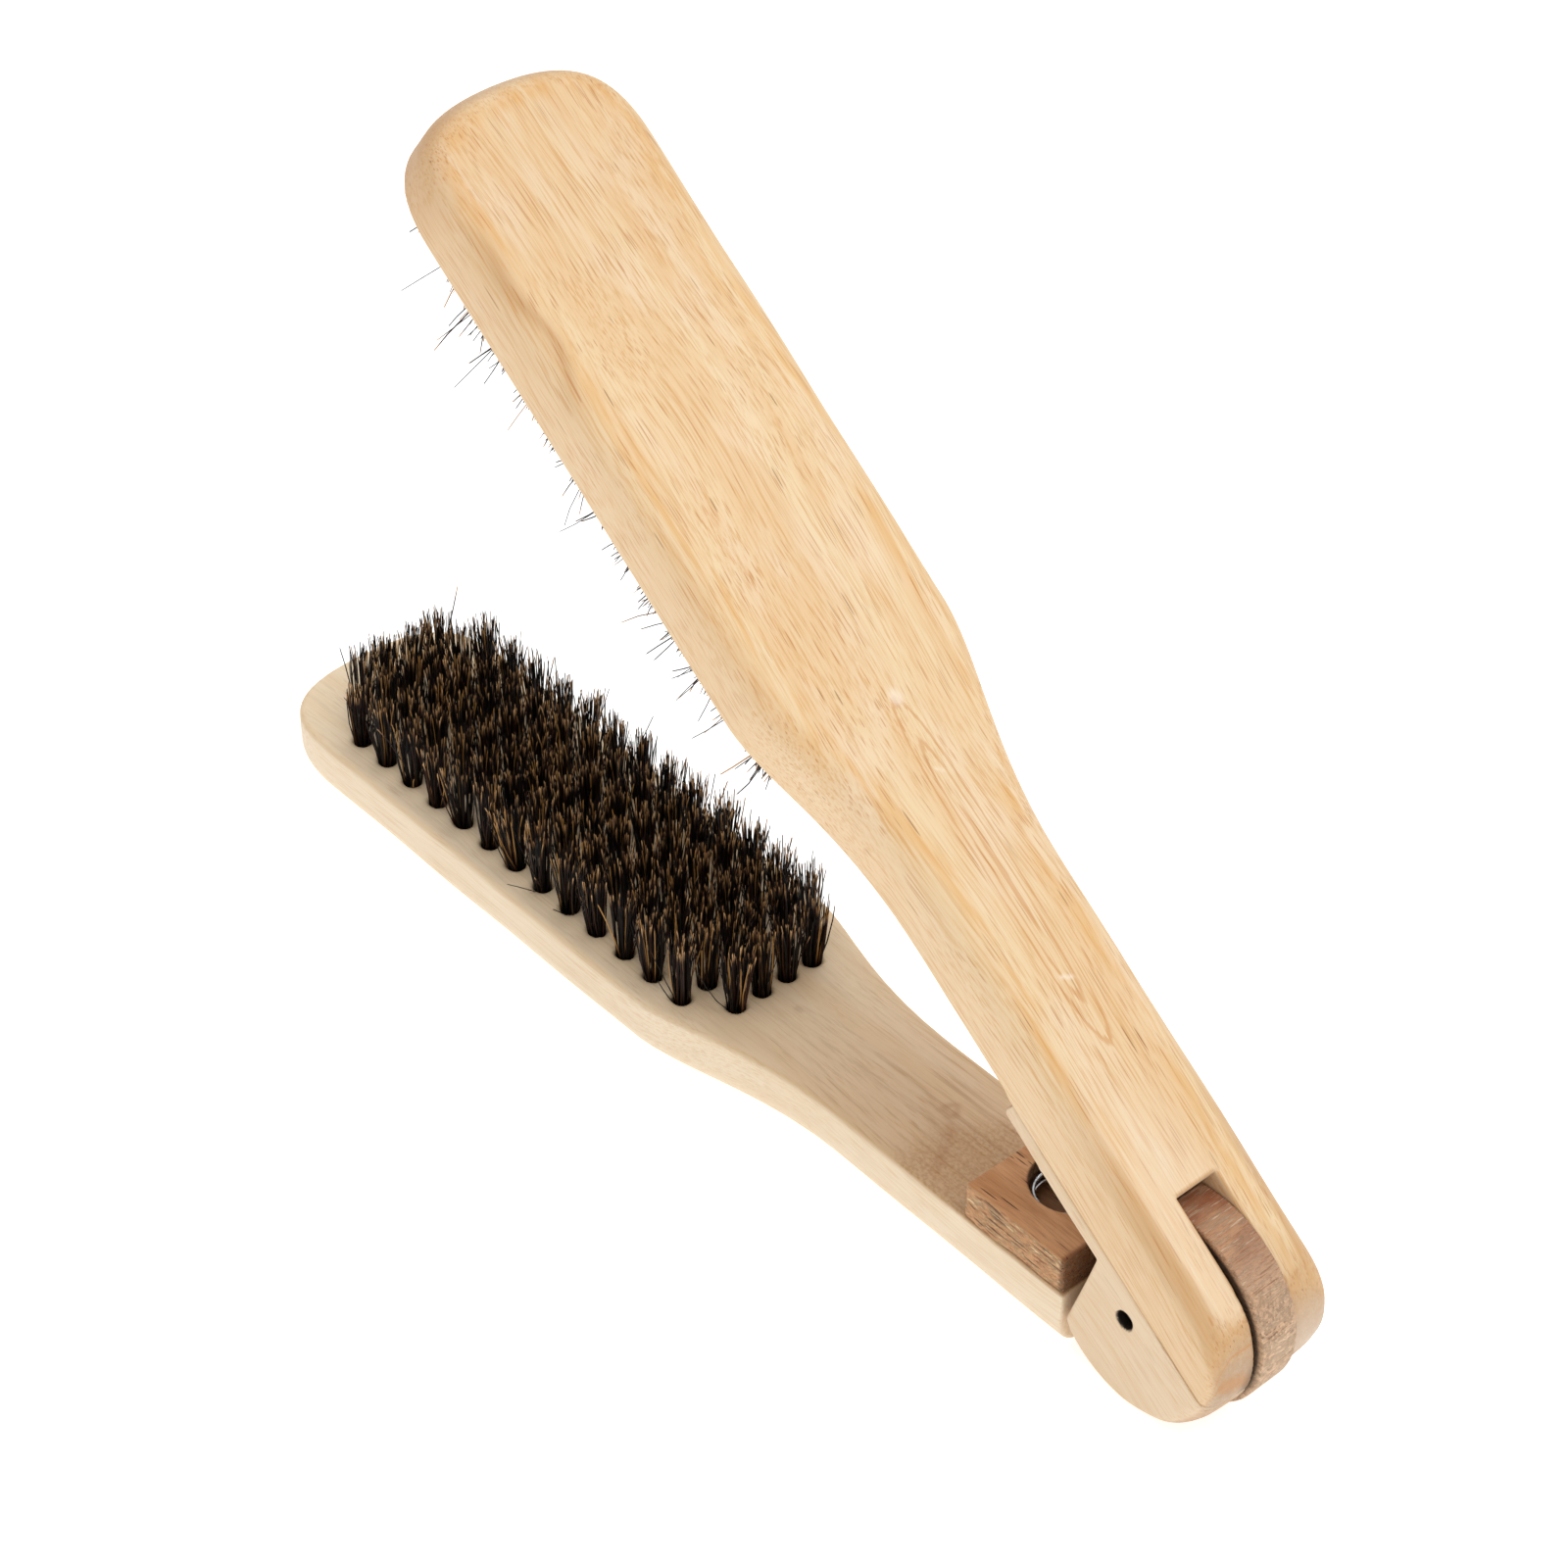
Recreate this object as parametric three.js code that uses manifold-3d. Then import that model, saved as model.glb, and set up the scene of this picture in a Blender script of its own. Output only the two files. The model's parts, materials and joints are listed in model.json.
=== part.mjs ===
// A hinged double hair brush: two wooden bristle paddles joined at one end by a pin and held open by a
// compression spring. The brush stands open, lying on the back of its lower paddle.
//
// Millimetres, +Z up. Inside this file each half is drawn shut, with the hinge pin's axis through the
// origin along Y, the heads towards -X and the parting line near z = 0. The upper half is then turned open
// about the pin, and the whole brush is moved so that the middle of its box's bottom is the origin.

import * as THREE from "three";
import { mergeVertices } from "three/addons/utils/BufferGeometryUtils.js";
import Module from "manifold-3d";

const wasm = await Module();
wasm.setup();

// Driving dimensions.
const OPEN_ANGLE = THREE.MathUtils.degToRad(36.25);
const PIN_TO_TIP = 208.4;
const PIN_TO_BACK = 17.2;
const BOARD_THICKNESS = 11.8;
const HANDLE_HALF_WIDTH = 12.8;
const HEAD_HALF_WIDTH = 20.2;
const HEAD_END_LENGTH = 17.5;
const HEAD_END_SIDE_PULL = 13;
const HEAD_END_TIP_PULL = 14.5;
const NECK_START = 62;
const NECK_END = 107.5;
const NECK_HANDLE_PULL = 25;
const NECK_HEAD_PULL = 12.5;
const BACK_EDGE_RADIUS = 4.4;
const INNER_EDGE_RADIUS = 1.1;
const GLUE_GAP = 0.3;
const RUNNING_GAP = 0.35;

// Hinge. The round end is drawn about a point behind and above the pin, the tongue about one behind and
// below it.
const END_RADIUS = 16.4;
const END_BEHIND_PIN = 2.1;
const END_ABOVE_PIN = 0.6;
const END_BLEND_ANGLE = 0.1;
const END_BLEND_LENGTH = 2;
const END_CORNER_LENGTH = 12;
const END_SIDE_PULL = 7;
const END_TIP_PULL = 7;
const TONGUE_RADIUS = 17.9;
const TONGUE_BEHIND_PIN = 1.6;
const TONGUE_BELOW_PIN = 0.6;
const TONGUE_WALL_GAP = 0.5;
const TONGUE_ROOT_LENGTH = 2;
const SLOT_HALF_WIDTH = 4.1;
const SLOT_INNER_END = 12;
const LOWER_END_AT_BLOCK_TOP = 12.95;
const LOWER_END_AT_BACK = 12;
const LOWER_BLOCK_FRONT = 34.7;
const LOWER_BLOCK_HEIGHT = 7.5;
const UPPER_BLOCK_FRONT = 36.2;
const UPPER_BLOCK_HEIGHT = 3.2;
const UPPER_BLOCK_NOSE = 1.2;
const NOTCH_TOP = 10.1;
const STOP_FROM_PIN = 11.5;
const STOP_BELOW_PIN = 9.4;
const CHEEK_TOE = 0.12;
const CHEEK_CORNER_RADIUS = 3.5;
const BLOCK_EDGE = 0.7;
const PIN_RADIUS = 1.3;
const PIN_HOLE_RADIUS = 1.6;
const PIN_RECESS = 1.6;

// Spring and its two blind seats.
const SPRING_FROM_PIN = 24.2;
const SPRING_COIL_RADIUS = 5.7;
const SPRING_WIRE_RADIUS = 0.4;
const SPRING_TURNS = 9;
const SPRING_STEPS_PER_TURN = 9;
const SPRING_BEND_START = 0.25;
const SPRING_BEND_END = 0.75;
const SPRING_SEAT_RADIUS = 6.5;
const LOWER_SEAT_DEPTH = 6.4;
const UPPER_SEAT_DEPTH = 6;

// Bristle tufts.
const TUFT_PITCH_ALONG = 7.3;
const TUFT_PITCH_ACROSS = 5.6;
const FIRST_ROW_FROM_PIN = 93;
const ROW_COUNT = 15;
const FULL_ROW_TUFTS = 6;
const END_ROW_TUFTS = 4;
const TUFT_HEIGHT = 13;
const TUFT_HOLE_DEPTH = 5;
const TUFT_HOLE_RADIUS = 1.75;
const TUFT_ROOT_RADIUS = 0.7;
const TUFT_TIP_RADIUS = 3.25;
const TUFT_SIDES = 6;

// How finely the rounds are cut, and how far a cutting shape runs past what it cuts.
const WELD_DISTANCE = 1e-4;
const OUTLINE_SEGMENTS = 9;
const BACK_EDGE_STEPS = 4;
const SIDE_ARC_SEGMENTS = 24;
const BLOCK_ARC_SEGMENTS = 20;
const CORNER_SEGMENTS = 5;
const PIN_SIDES = 16;
const SEAT_SIDES = 20;
const WIRE_SEGMENTS = 3;
const OVERRUN = 10;

// Derived levels of a shut half, measured from the pin's axis.
const INNER_FACE = PIN_TO_BACK - BOARD_THICKNESS;
const LOWER_BLOCK_TOP = LOWER_BLOCK_HEIGHT - INNER_FACE;
const UPPER_BLOCK_BOTTOM = INNER_FACE - UPPER_BLOCK_HEIGHT;

const ALONG_Y = new THREE.Matrix4().makeRotationX(Math.PI / 2);

function toSolid(geometry) {
  const bare = geometry.index ? geometry.toNonIndexed() : geometry.clone();
  bare.deleteAttribute("normal");
  bare.deleteAttribute("uv");
  const merged = mergeVertices(bare, WELD_DISTANCE);
  const mesh = new wasm.Mesh({
    numProp: 3,
    vertProperties: new Float32Array(merged.attributes.position.array),
    triVerts: new Uint32Array(merged.index.array),
  });
  return new wasm.Manifold(mesh);
}

function toGeometry(solid) {
  const mesh = solid.getMesh();
  const geometry = new THREE.BufferGeometry();
  geometry.setAttribute("position", new THREE.BufferAttribute(mesh.vertProperties, 3));
  geometry.setIndex(new THREE.BufferAttribute(mesh.triVerts, 1));
  return geometry;
}

// A prism between two heights, whose rims are rounded over inside the outline.
function roundedPrism(shape, bottom, top, edgeRadius, edgeSteps, curveSegments) {
  const geometry = new THREE.ExtrudeGeometry(shape, {
    depth: top - bottom - 2 * edgeRadius,
    bevelEnabled: edgeRadius > 0,
    bevelThickness: edgeRadius,
    bevelSize: edgeRadius,
    bevelOffset: -edgeRadius,
    bevelSegments: edgeSteps,
    curveSegments,
  });
  geometry.translate(0, 0, bottom + edgeRadius);
  return geometry;
}

// A prism whose outline is drawn in X and Z, running from -halfWidth to +halfWidth along Y.
function sideways(shape, halfWidth, edgeRadius, curveSegments) {
  const geometry = roundedPrism(shape, -halfWidth, halfWidth, edgeRadius, 1, curveSegments);
  geometry.applyMatrix4(ALONG_Y);
  return geometry;
}

function boxBetween(low, high) {
  const size = high.map((value, axis) => value - low[axis]);
  const geometry = new THREE.BoxGeometry(...size);
  geometry.translate(...low.map((value, axis) => value + size[axis] / 2));
  return toSolid(geometry);
}

function cylinderAlongY(radius, length) {
  return new THREE.CylinderGeometry(radius, radius, length, PIN_SIDES);
}

// Plan outline of a paddle, from its hinge end, rounded or square, to the rounded tip.
function paddleOutline(hingeEnd, roundEnd) {
  const shape = new THREE.Shape();
  const tip = -PIN_TO_TIP;
  const headEnd = tip + HEAD_END_LENGTH;
  const corner = hingeEnd - END_CORNER_LENGTH;
  if (roundEnd) {
    shape.moveTo(corner, -HANDLE_HALF_WIDTH);
    shape.bezierCurveTo(
      corner + END_SIDE_PULL, -HANDLE_HALF_WIDTH,
      hingeEnd, -END_TIP_PULL,
      hingeEnd, 0,
    );
    shape.bezierCurveTo(
      hingeEnd, END_TIP_PULL,
      corner + END_SIDE_PULL, HANDLE_HALF_WIDTH,
      corner, HANDLE_HALF_WIDTH,
    );
  } else {
    shape.moveTo(hingeEnd, -HANDLE_HALF_WIDTH);
    shape.lineTo(hingeEnd, HANDLE_HALF_WIDTH);
  }
  shape.lineTo(-NECK_START, HANDLE_HALF_WIDTH);
  shape.bezierCurveTo(
    -(NECK_START + NECK_HANDLE_PULL), HANDLE_HALF_WIDTH,
    -(NECK_END - NECK_HEAD_PULL), HEAD_HALF_WIDTH,
    -NECK_END, HEAD_HALF_WIDTH,
  );
  shape.lineTo(headEnd, HEAD_HALF_WIDTH);
  shape.bezierCurveTo(
    headEnd - HEAD_END_SIDE_PULL, HEAD_HALF_WIDTH,
    tip, HEAD_END_TIP_PULL,
    tip, 0,
  );
  shape.bezierCurveTo(
    tip, -HEAD_END_TIP_PULL,
    headEnd - HEAD_END_SIDE_PULL, -HEAD_HALF_WIDTH,
    headEnd, -HEAD_HALF_WIDTH,
  );
  shape.lineTo(-NECK_END, -HEAD_HALF_WIDTH);
  shape.bezierCurveTo(
    -(NECK_END - NECK_HEAD_PULL), -HEAD_HALF_WIDTH,
    -(NECK_START + NECK_HANDLE_PULL), -HANDLE_HALF_WIDTH,
    -NECK_START, -HANDLE_HALF_WIDTH,
  );
  return shape;
}

// A board with its back at z = PIN_TO_BACK: a large round on the back's edge, a small one on the inner
// face's.
function boardSolid(outline) {
  const below = INNER_FACE - OVERRUN;
  const above = PIN_TO_BACK + OVERRUN;
  const soft = roundedPrism(
    outline, below, PIN_TO_BACK, BACK_EDGE_RADIUS, BACK_EDGE_STEPS, OUTLINE_SEGMENTS,
  );
  const crisp = roundedPrism(outline, INNER_FACE, above, INNER_EDGE_RADIUS, 1, OUTLINE_SEGMENTS);
  return toSolid(soft).intersect(toSolid(crisp));
}

// Lines of tufts: [x, [y, ...]] for each cross row, the first nearest the hinge.
function tuftRows() {
  const rows = [];
  for (let row = 0; row < ROW_COUNT; row += 1) {
    const isEnd = row === 0 || row === ROW_COUNT - 1;
    const count = isEnd ? END_ROW_TUFTS : FULL_ROW_TUFTS;
    const ys = Array.from({ length: count }, (_, i) => (i - (count - 1) / 2) * TUFT_PITCH_ACROSS);
    rows.push([-(FIRST_ROW_FROM_PIN + row * TUFT_PITCH_ALONG), ys]);
  }
  return rows;
}

// Round prism or cone standing on the inner face, which faces down: depth into the board, height out of it.
function tuftSpindle(x, y, profile) {
  const points = profile.map(([radius, height]) => new THREE.Vector2(radius, height));
  const geometry = new THREE.LatheGeometry(points, TUFT_SIDES);
  geometry.rotateX(-Math.PI / 2);
  geometry.translate(x, y, INNER_FACE);
  return toSolid(geometry);
}

function tuftHole(x, y) {
  return tuftSpindle(x, y, [
    [0, -TUFT_HOLE_DEPTH], [TUFT_HOLE_RADIUS, -TUFT_HOLE_DEPTH],
    [TUFT_HOLE_RADIUS, OVERRUN], [0, OVERRUN],
  ]);
}

// A tuft is folded over its anchor at the bottom of its hole and flares all the way to its tip.
function tuft(x, y) {
  const root = GLUE_GAP - TUFT_HOLE_DEPTH;
  return tuftSpindle(x, y, [
    [0, root], [TUFT_ROOT_RADIUS, root], [TUFT_TIP_RADIUS, TUFT_HEIGHT], [0, TUFT_HEIGHT],
  ]);
}

// One cross row: its tufts lean on each other where their tips flare.
function bristleRow(x, ys) {
  return ys.map((y) => tuft(x, y)).reduce((all, next) => all.add(next));
}

function drillTufts(board) {
  const holes = tuftRows().flatMap(([x, ys]) => ys.map((y) => tuftHole(x, y)));
  return board.subtract(wasm.Manifold.compose(holes));
}

const pinHole = toSolid(cylinderAlongY(PIN_HOLE_RADIUS, 2 * (HANDLE_HALF_WIDTH + OVERRUN)));

// Half-round hinge end about the pin, seen from the side, joined to everything towards the head.
function hingeEndEnvelope() {
  const shape = new THREE.Shape();
  const far = PIN_TO_TIP + OVERRUN;
  const arcEnd = Math.PI / 2 - END_BLEND_ANGLE;
  shape.moveTo(-far, -PIN_TO_BACK);
  shape.lineTo(END_BEHIND_PIN, -PIN_TO_BACK);
  shape.absarc(END_BEHIND_PIN, END_ABOVE_PIN, END_RADIUS, -Math.PI / 2, arcEnd, false);
  shape.lineTo(END_BEHIND_PIN - END_BLEND_LENGTH, PIN_TO_BACK);
  shape.lineTo(-far, PIN_TO_BACK);
  return toSolid(sideways(shape, HEAD_HALF_WIDTH + OVERRUN, 0, SIDE_ARC_SEGMENTS));
}

function slotCutter() {
  const reach = PIN_TO_BACK + OVERRUN;
  return boxBetween(
    [-SLOT_INNER_END, -SLOT_HALF_WIDTH, -reach],
    [reach, SLOT_HALF_WIDTH, reach],
  );
}

function springSeat(bottom, top) {
  const geometry = new THREE.CylinderGeometry(
    SPRING_SEAT_RADIUS, SPRING_SEAT_RADIUS, top - bottom, SEAT_SIDES,
  );
  geometry.rotateX(Math.PI / 2);
  geometry.translate(-SPRING_FROM_PIN, 0, (bottom + top) / 2);
  return toSolid(geometry);
}

const upperOutline = paddleOutline(END_BEHIND_PIN + END_RADIUS, true);

function upperPaddle() {
  return drillTufts(boardSolid(upperOutline).intersect(hingeEndEnvelope()))
    .subtract(slotCutter())
    .subtract(springSeat(UPPER_BLOCK_BOTTOM, UPPER_BLOCK_BOTTOM + UPPER_SEAT_DEPTH));
}

// Distance from the pin to the lower half's sloping end face, at a height above the pin.
function lowerEndAt(height) {
  const share = (LOWER_BLOCK_TOP - height) / (LOWER_BLOCK_TOP + PIN_TO_BACK);
  return THREE.MathUtils.lerp(LOWER_END_AT_BLOCK_TOP, LOWER_END_AT_BACK, share);
}

// The lower half's side view, ahead of its sloping end face.
function lowerEnvelope() {
  const shape = new THREE.Shape();
  const far = PIN_TO_TIP + OVERRUN;
  shape.moveTo(-far, LOWER_BLOCK_TOP);
  shape.lineTo(-far, -PIN_TO_BACK);
  shape.lineTo(-LOWER_END_AT_BACK, -PIN_TO_BACK);
  shape.lineTo(-LOWER_END_AT_BLOCK_TOP, LOWER_BLOCK_TOP);
  return toSolid(sideways(shape, HEAD_HALF_WIDTH + OVERRUN, 0, 1));
}

// Drawn back up like the upper board, then turned over onto its back.
function lowerPaddle() {
  const board = drillTufts(boardSolid(paddleOutline(0, false)));
  return board.rotate([180, 0, 0]).intersect(lowerEnvelope());
}

// Where a point drawn on the open brush's side view lies on the shut one's.
function shut(x, z) {
  return new THREE.Vector2(x, z).rotateAround(new THREE.Vector2(0, 0), OPEN_ANGLE);
}

function open(x, z) {
  return new THREE.Vector2(x, z).rotateAround(new THREE.Vector2(0, 0), -OPEN_ANGLE);
}

// Plan of the cheeks, with their outer corners at the hinge end taken off.
function cheekPlan() {
  const end = END_BEHIND_PIN + END_RADIUS;
  const inset = CHEEK_CORNER_RADIUS;
  const side = HANDLE_HALF_WIDTH;
  const front = -UPPER_BLOCK_FRONT - OVERRUN;
  const reach = PIN_TO_BACK + OVERRUN;
  const shape = new THREE.Shape();
  shape.moveTo(front, side);
  shape.lineTo(front, -side);
  shape.absarc(end - inset, inset - side, inset, -Math.PI / 2, 0, false);
  shape.absarc(end - inset, side - inset, inset, 0, Math.PI / 2, false);
  return toSolid(roundedPrism(shape, -reach, reach, 0, 1, CORNER_SEGMENTS));
}

// Thin block under the upper board, deepening into two half-round cheeks around the pin. The foot of a
// cheek's front edge swings up to the lower board's end face, which stops it.
function upperHingeBlock() {
  const top = INNER_FACE - GLUE_GAP;
  const bottom = UPPER_BLOCK_BOTTOM;
  const foot = shut(-STOP_FROM_PIN - GLUE_GAP / 2, -STOP_BELOW_PIN);
  const footAngle = Math.atan2(foot.y - END_ABOVE_PIN, foot.x - END_BEHIND_PIN);
  const topAngle = Math.asin((top - END_ABOVE_PIN) / END_RADIUS);
  const shape = new THREE.Shape();
  shape.moveTo(-UPPER_BLOCK_FRONT, top);
  shape.lineTo(-UPPER_BLOCK_FRONT, bottom + UPPER_BLOCK_NOSE);
  shape.quadraticCurveTo(-UPPER_BLOCK_FRONT, bottom, -UPPER_BLOCK_FRONT + UPPER_BLOCK_NOSE, bottom);
  shape.lineTo(-NOTCH_TOP, bottom);
  shape.lineTo(foot.x, foot.y);
  shape.absarc(END_BEHIND_PIN, END_ABOVE_PIN, END_RADIUS, footAngle + CHEEK_TOE, topAngle, false);
  return toSolid(sideways(shape, HANDLE_HALF_WIDTH, BLOCK_EDGE, BLOCK_ARC_SEGMENTS))
    .intersect(cheekPlan())
    .subtract(slotCutter())
    .subtract(pinHole)
    .subtract(springSeat(bottom - OVERRUN, INNER_FACE));
}

// Tongue seen from the side: a disc about a point near the pin, cut away ahead of the slot's inner end. Its
// root runs into the block.
function tongueShape() {
  const slotCorner = Math.hypot(SLOT_INNER_END, UPPER_BLOCK_BOTTOM);
  const neckRadius = slotCorner - RUNNING_GAP;
  const wall = SLOT_INNER_END - TONGUE_WALL_GAP;
  const wallFoot = open(-wall, Math.sqrt(neckRadius ** 2 - wall ** 2));
  const wallDirection = open(0, 1);
  const centre = new THREE.Vector2(TONGUE_BEHIND_PIN, -TONGUE_BELOW_PIN);
  const toFoot = wallFoot.clone().sub(centre);
  const along = toFoot.dot(wallDirection);
  const run = Math.sqrt(along ** 2 - toFoot.lengthSq() + TONGUE_RADIUS ** 2) - along;
  const wallTop = wallFoot.clone().addScaledVector(wallDirection, run);
  const flat = -PIN_TO_BACK + GLUE_GAP;
  const seat = -INNER_FACE + GLUE_GAP;
  const flatAngle = Math.asin((flat - centre.y) / TONGUE_RADIUS);
  const wallAngle = Math.atan2(wallTop.y - centre.y, wallTop.x - centre.x);
  const neckStart = Math.PI - Math.asin(LOWER_BLOCK_TOP / neckRadius);
  const root = -LOWER_END_AT_BLOCK_TOP - TONGUE_ROOT_LENGTH;
  const shape = new THREE.Shape();
  shape.moveTo(root, seat);
  shape.lineTo(root, LOWER_BLOCK_TOP);
  shape.absarc(0, 0, neckRadius, neckStart, Math.atan2(wallFoot.y, wallFoot.x), true);
  shape.absarc(centre.x, centre.y, TONGUE_RADIUS, wallAngle, flatAngle, true);
  shape.lineTo(GLUE_GAP - lowerEndAt(flat), flat);
  shape.lineTo(GLUE_GAP - lowerEndAt(seat), seat);
  return shape;
}

// Brown block glued on the lower board, with the tongue behind it.
function lowerHingeBlock() {
  const seat = -INNER_FACE + GLUE_GAP;
  const body = new THREE.Shape();
  body.moveTo(-LOWER_BLOCK_FRONT, seat);
  body.lineTo(-lowerEndAt(seat), seat);
  body.lineTo(-LOWER_END_AT_BLOCK_TOP, LOWER_BLOCK_TOP);
  body.lineTo(-LOWER_BLOCK_FRONT, LOWER_BLOCK_TOP);
  const block = toSolid(sideways(body, HANDLE_HALF_WIDTH, BLOCK_EDGE, 1));
  const tongue = toSolid(sideways(
    tongueShape(), SLOT_HALF_WIDTH - RUNNING_GAP, 0, BLOCK_ARC_SEGMENTS,
  ));
  return block
    .add(tongue)
    .subtract(pinHole)
    .subtract(springSeat(LOWER_BLOCK_TOP - LOWER_SEAT_DEPTH, LOWER_BLOCK_TOP + OVERRUN));
}

function hingePin() {
  const length = 2 * (HANDLE_HALF_WIDTH - PIN_RECESS);
  return toSolid(cylinderAlongY(PIN_RADIUS, length));
}

// Axis of the spring: an arc about the pin between the floors of the two seats, with the brush open.
class SpringCoil extends THREE.Curve {
  getPoint(t, target = new THREE.Vector3()) {
    const lowerFloor = LOWER_BLOCK_TOP - LOWER_SEAT_DEPTH + SPRING_WIRE_RADIUS + GLUE_GAP;
    const upperFloor = UPPER_BLOCK_BOTTOM + UPPER_SEAT_DEPTH - SPRING_WIRE_RADIUS - GLUE_GAP;
    const turn = OPEN_ANGLE * THREE.MathUtils.smoothstep(t, SPRING_BEND_START, SPRING_BEND_END);
    const height = THREE.MathUtils.lerp(lowerFloor, upperFloor, t);
    const angle = 2 * Math.PI * SPRING_TURNS * t;
    const x = -SPRING_FROM_PIN + SPRING_COIL_RADIUS * Math.cos(angle);
    const y = SPRING_COIL_RADIUS * Math.sin(angle);
    return target.set(
      x * Math.cos(turn) + height * Math.sin(turn),
      y,
      -x * Math.sin(turn) + height * Math.cos(turn),
    );
  }
}

function springGeometry() {
  const section = new THREE.Shape();
  section.absarc(0, 0, SPRING_WIRE_RADIUS, 0, 2 * Math.PI, false);
  return new THREE.ExtrudeGeometry(section, {
    steps: SPRING_TURNS * SPRING_STEPS_PER_TURN,
    curveSegments: WIRE_SEGMENTS,
    extrudePath: new SpringCoil(),
  });
}

const MATERIALS = {
  paleWood: new THREE.MeshStandardMaterial({ color: 0xe6c79c, roughness: 0.62, metalness: 0 }),
  brownWood: new THREE.MeshStandardMaterial({ color: 0x94694b, roughness: 0.72, metalness: 0 }),
  bristle: new THREE.MeshStandardMaterial({ color: 0x2a1c14, roughness: 0.55, metalness: 0 }),
  steel: new THREE.MeshStandardMaterial({ color: 0xb9babc, roughness: 0.3, metalness: 1 }),
};

function namedMesh(name, geometry, material) {
  geometry.computeVertexNormals();
  const mesh = new THREE.Mesh(geometry, material);
  mesh.name = name;
  return mesh;
}

function bristleMeshes(prefix, turnedOver) {
  return tuftRows().map(([x, ys], index) => {
    const row = turnedOver ? bristleRow(x, ys).rotate([180, 0, 0]) : bristleRow(x, ys);
    const name = `${prefix}_bristle_row_${String(index + 1).padStart(2, "0")}`;
    return namedMesh(name, toGeometry(row), MATERIALS.bristle);
  });
}

const lowerHalf = new THREE.Group();
lowerHalf.add(namedMesh("lower_paddle", toGeometry(lowerPaddle()), MATERIALS.paleWood));
lowerHalf.add(namedMesh("lower_hinge_block", toGeometry(lowerHingeBlock()), MATERIALS.brownWood));
lowerHalf.add(...bristleMeshes("lower", true));

const upperHalf = new THREE.Group();
upperHalf.add(namedMesh("upper_paddle", toGeometry(upperPaddle()), MATERIALS.paleWood));
upperHalf.add(namedMesh("upper_hinge_block", toGeometry(upperHingeBlock()), MATERIALS.paleWood));
upperHalf.add(namedMesh("hinge_pin", toGeometry(hingePin()), MATERIALS.steel));
upperHalf.add(...bristleMeshes("upper", false));
upperHalf.rotation.y = OPEN_ANGLE;

const brush = new THREE.Group();
brush.add(lowerHalf, upperHalf);
brush.add(namedMesh("compression_spring", springGeometry(), MATERIALS.steel));
brush.position.set((PIN_TO_TIP - TONGUE_BEHIND_PIN - TONGUE_RADIUS) / 2, 0, PIN_TO_BACK);

export default brush;
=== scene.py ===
"""Looks of a hinged double hair brush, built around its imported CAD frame.

Sizes are in millimetres. Each half is drawn shut, in its own half frame: the hinge pin's axis is the origin,
the heads lie towards -X, and the board's back faces +Z. HALF holds the matrix that puts a half in place.
"""

import json
import math

import bpy
import numpy as np
from mathutils import Matrix, Vector


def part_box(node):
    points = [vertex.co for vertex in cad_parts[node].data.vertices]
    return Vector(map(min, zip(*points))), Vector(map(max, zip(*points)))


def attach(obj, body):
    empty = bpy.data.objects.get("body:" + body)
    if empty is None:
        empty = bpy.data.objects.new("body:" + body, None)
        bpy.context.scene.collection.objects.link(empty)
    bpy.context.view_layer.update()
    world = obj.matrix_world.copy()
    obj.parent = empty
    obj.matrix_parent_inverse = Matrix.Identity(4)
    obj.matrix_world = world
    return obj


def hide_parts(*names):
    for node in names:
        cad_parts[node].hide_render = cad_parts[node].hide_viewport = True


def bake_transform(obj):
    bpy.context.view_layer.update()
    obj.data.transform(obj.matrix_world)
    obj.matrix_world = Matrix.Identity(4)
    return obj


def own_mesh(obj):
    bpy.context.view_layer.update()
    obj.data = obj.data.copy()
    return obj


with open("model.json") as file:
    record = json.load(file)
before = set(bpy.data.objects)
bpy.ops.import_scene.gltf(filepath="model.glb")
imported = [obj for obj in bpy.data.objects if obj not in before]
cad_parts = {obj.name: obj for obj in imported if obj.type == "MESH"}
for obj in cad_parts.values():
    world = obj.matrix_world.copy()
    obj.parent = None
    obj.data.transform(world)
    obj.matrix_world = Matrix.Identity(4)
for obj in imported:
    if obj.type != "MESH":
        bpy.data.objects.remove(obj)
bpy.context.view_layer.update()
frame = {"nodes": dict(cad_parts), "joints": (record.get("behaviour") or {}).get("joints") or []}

MM = 0.001
JOINT = frame["joints"][0]
PIN = Vector(JOINT["pos_m"])
OPEN_ANGLE = -math.radians(JOINT["range_deg"][0])
HALF = {
    "lower": Matrix.Translation(PIN) @ Matrix.Rotation(math.pi, 4, "X"),
    "upper": Matrix.Translation(PIN) @ Matrix.Rotation(OPEN_ANGLE, 4, "Y"),
}

# Sizes that the frame gives.
board_low, board_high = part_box("lower_paddle")
PIN_TO_TIP = (PIN.x - board_low.x) / MM
BACK = (PIN.z - board_low.z) / MM
INNER = (PIN.z - board_high.z) / MM
HEAD_HALF_WIDTH = board_high.y / MM
HANDLE_HALF_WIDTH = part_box("upper_hinge_block")[1].y / MM
PIN_HALF_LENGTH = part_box("hinge_pin")[1].y / MM

# Plan outline.
HEAD_END_LENGTH = 17.5
HEAD_END_SIDE_PULL = 13
HEAD_END_TIP_PULL = 14.5
NECK_START = 62
NECK_END = 107.5
NECK_HANDLE_PULL = 25
NECK_HEAD_PULL = 12.5
END_RADIUS = 16.4
END_BEHIND_PIN = 2.1
END_ABOVE_PIN = 0.6
END_LENGTH = 17.4
END_FACE_RADIUS = 21
END_FACE_CENTRE = (-1.2, -2.6)
END_CORNER = ((19.5, 5), (19.3, 10.5), (18.4, 12.8), (14.7, 12.8))
END_TAPER_START = -6
CURVE_STEPS = 20

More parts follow.
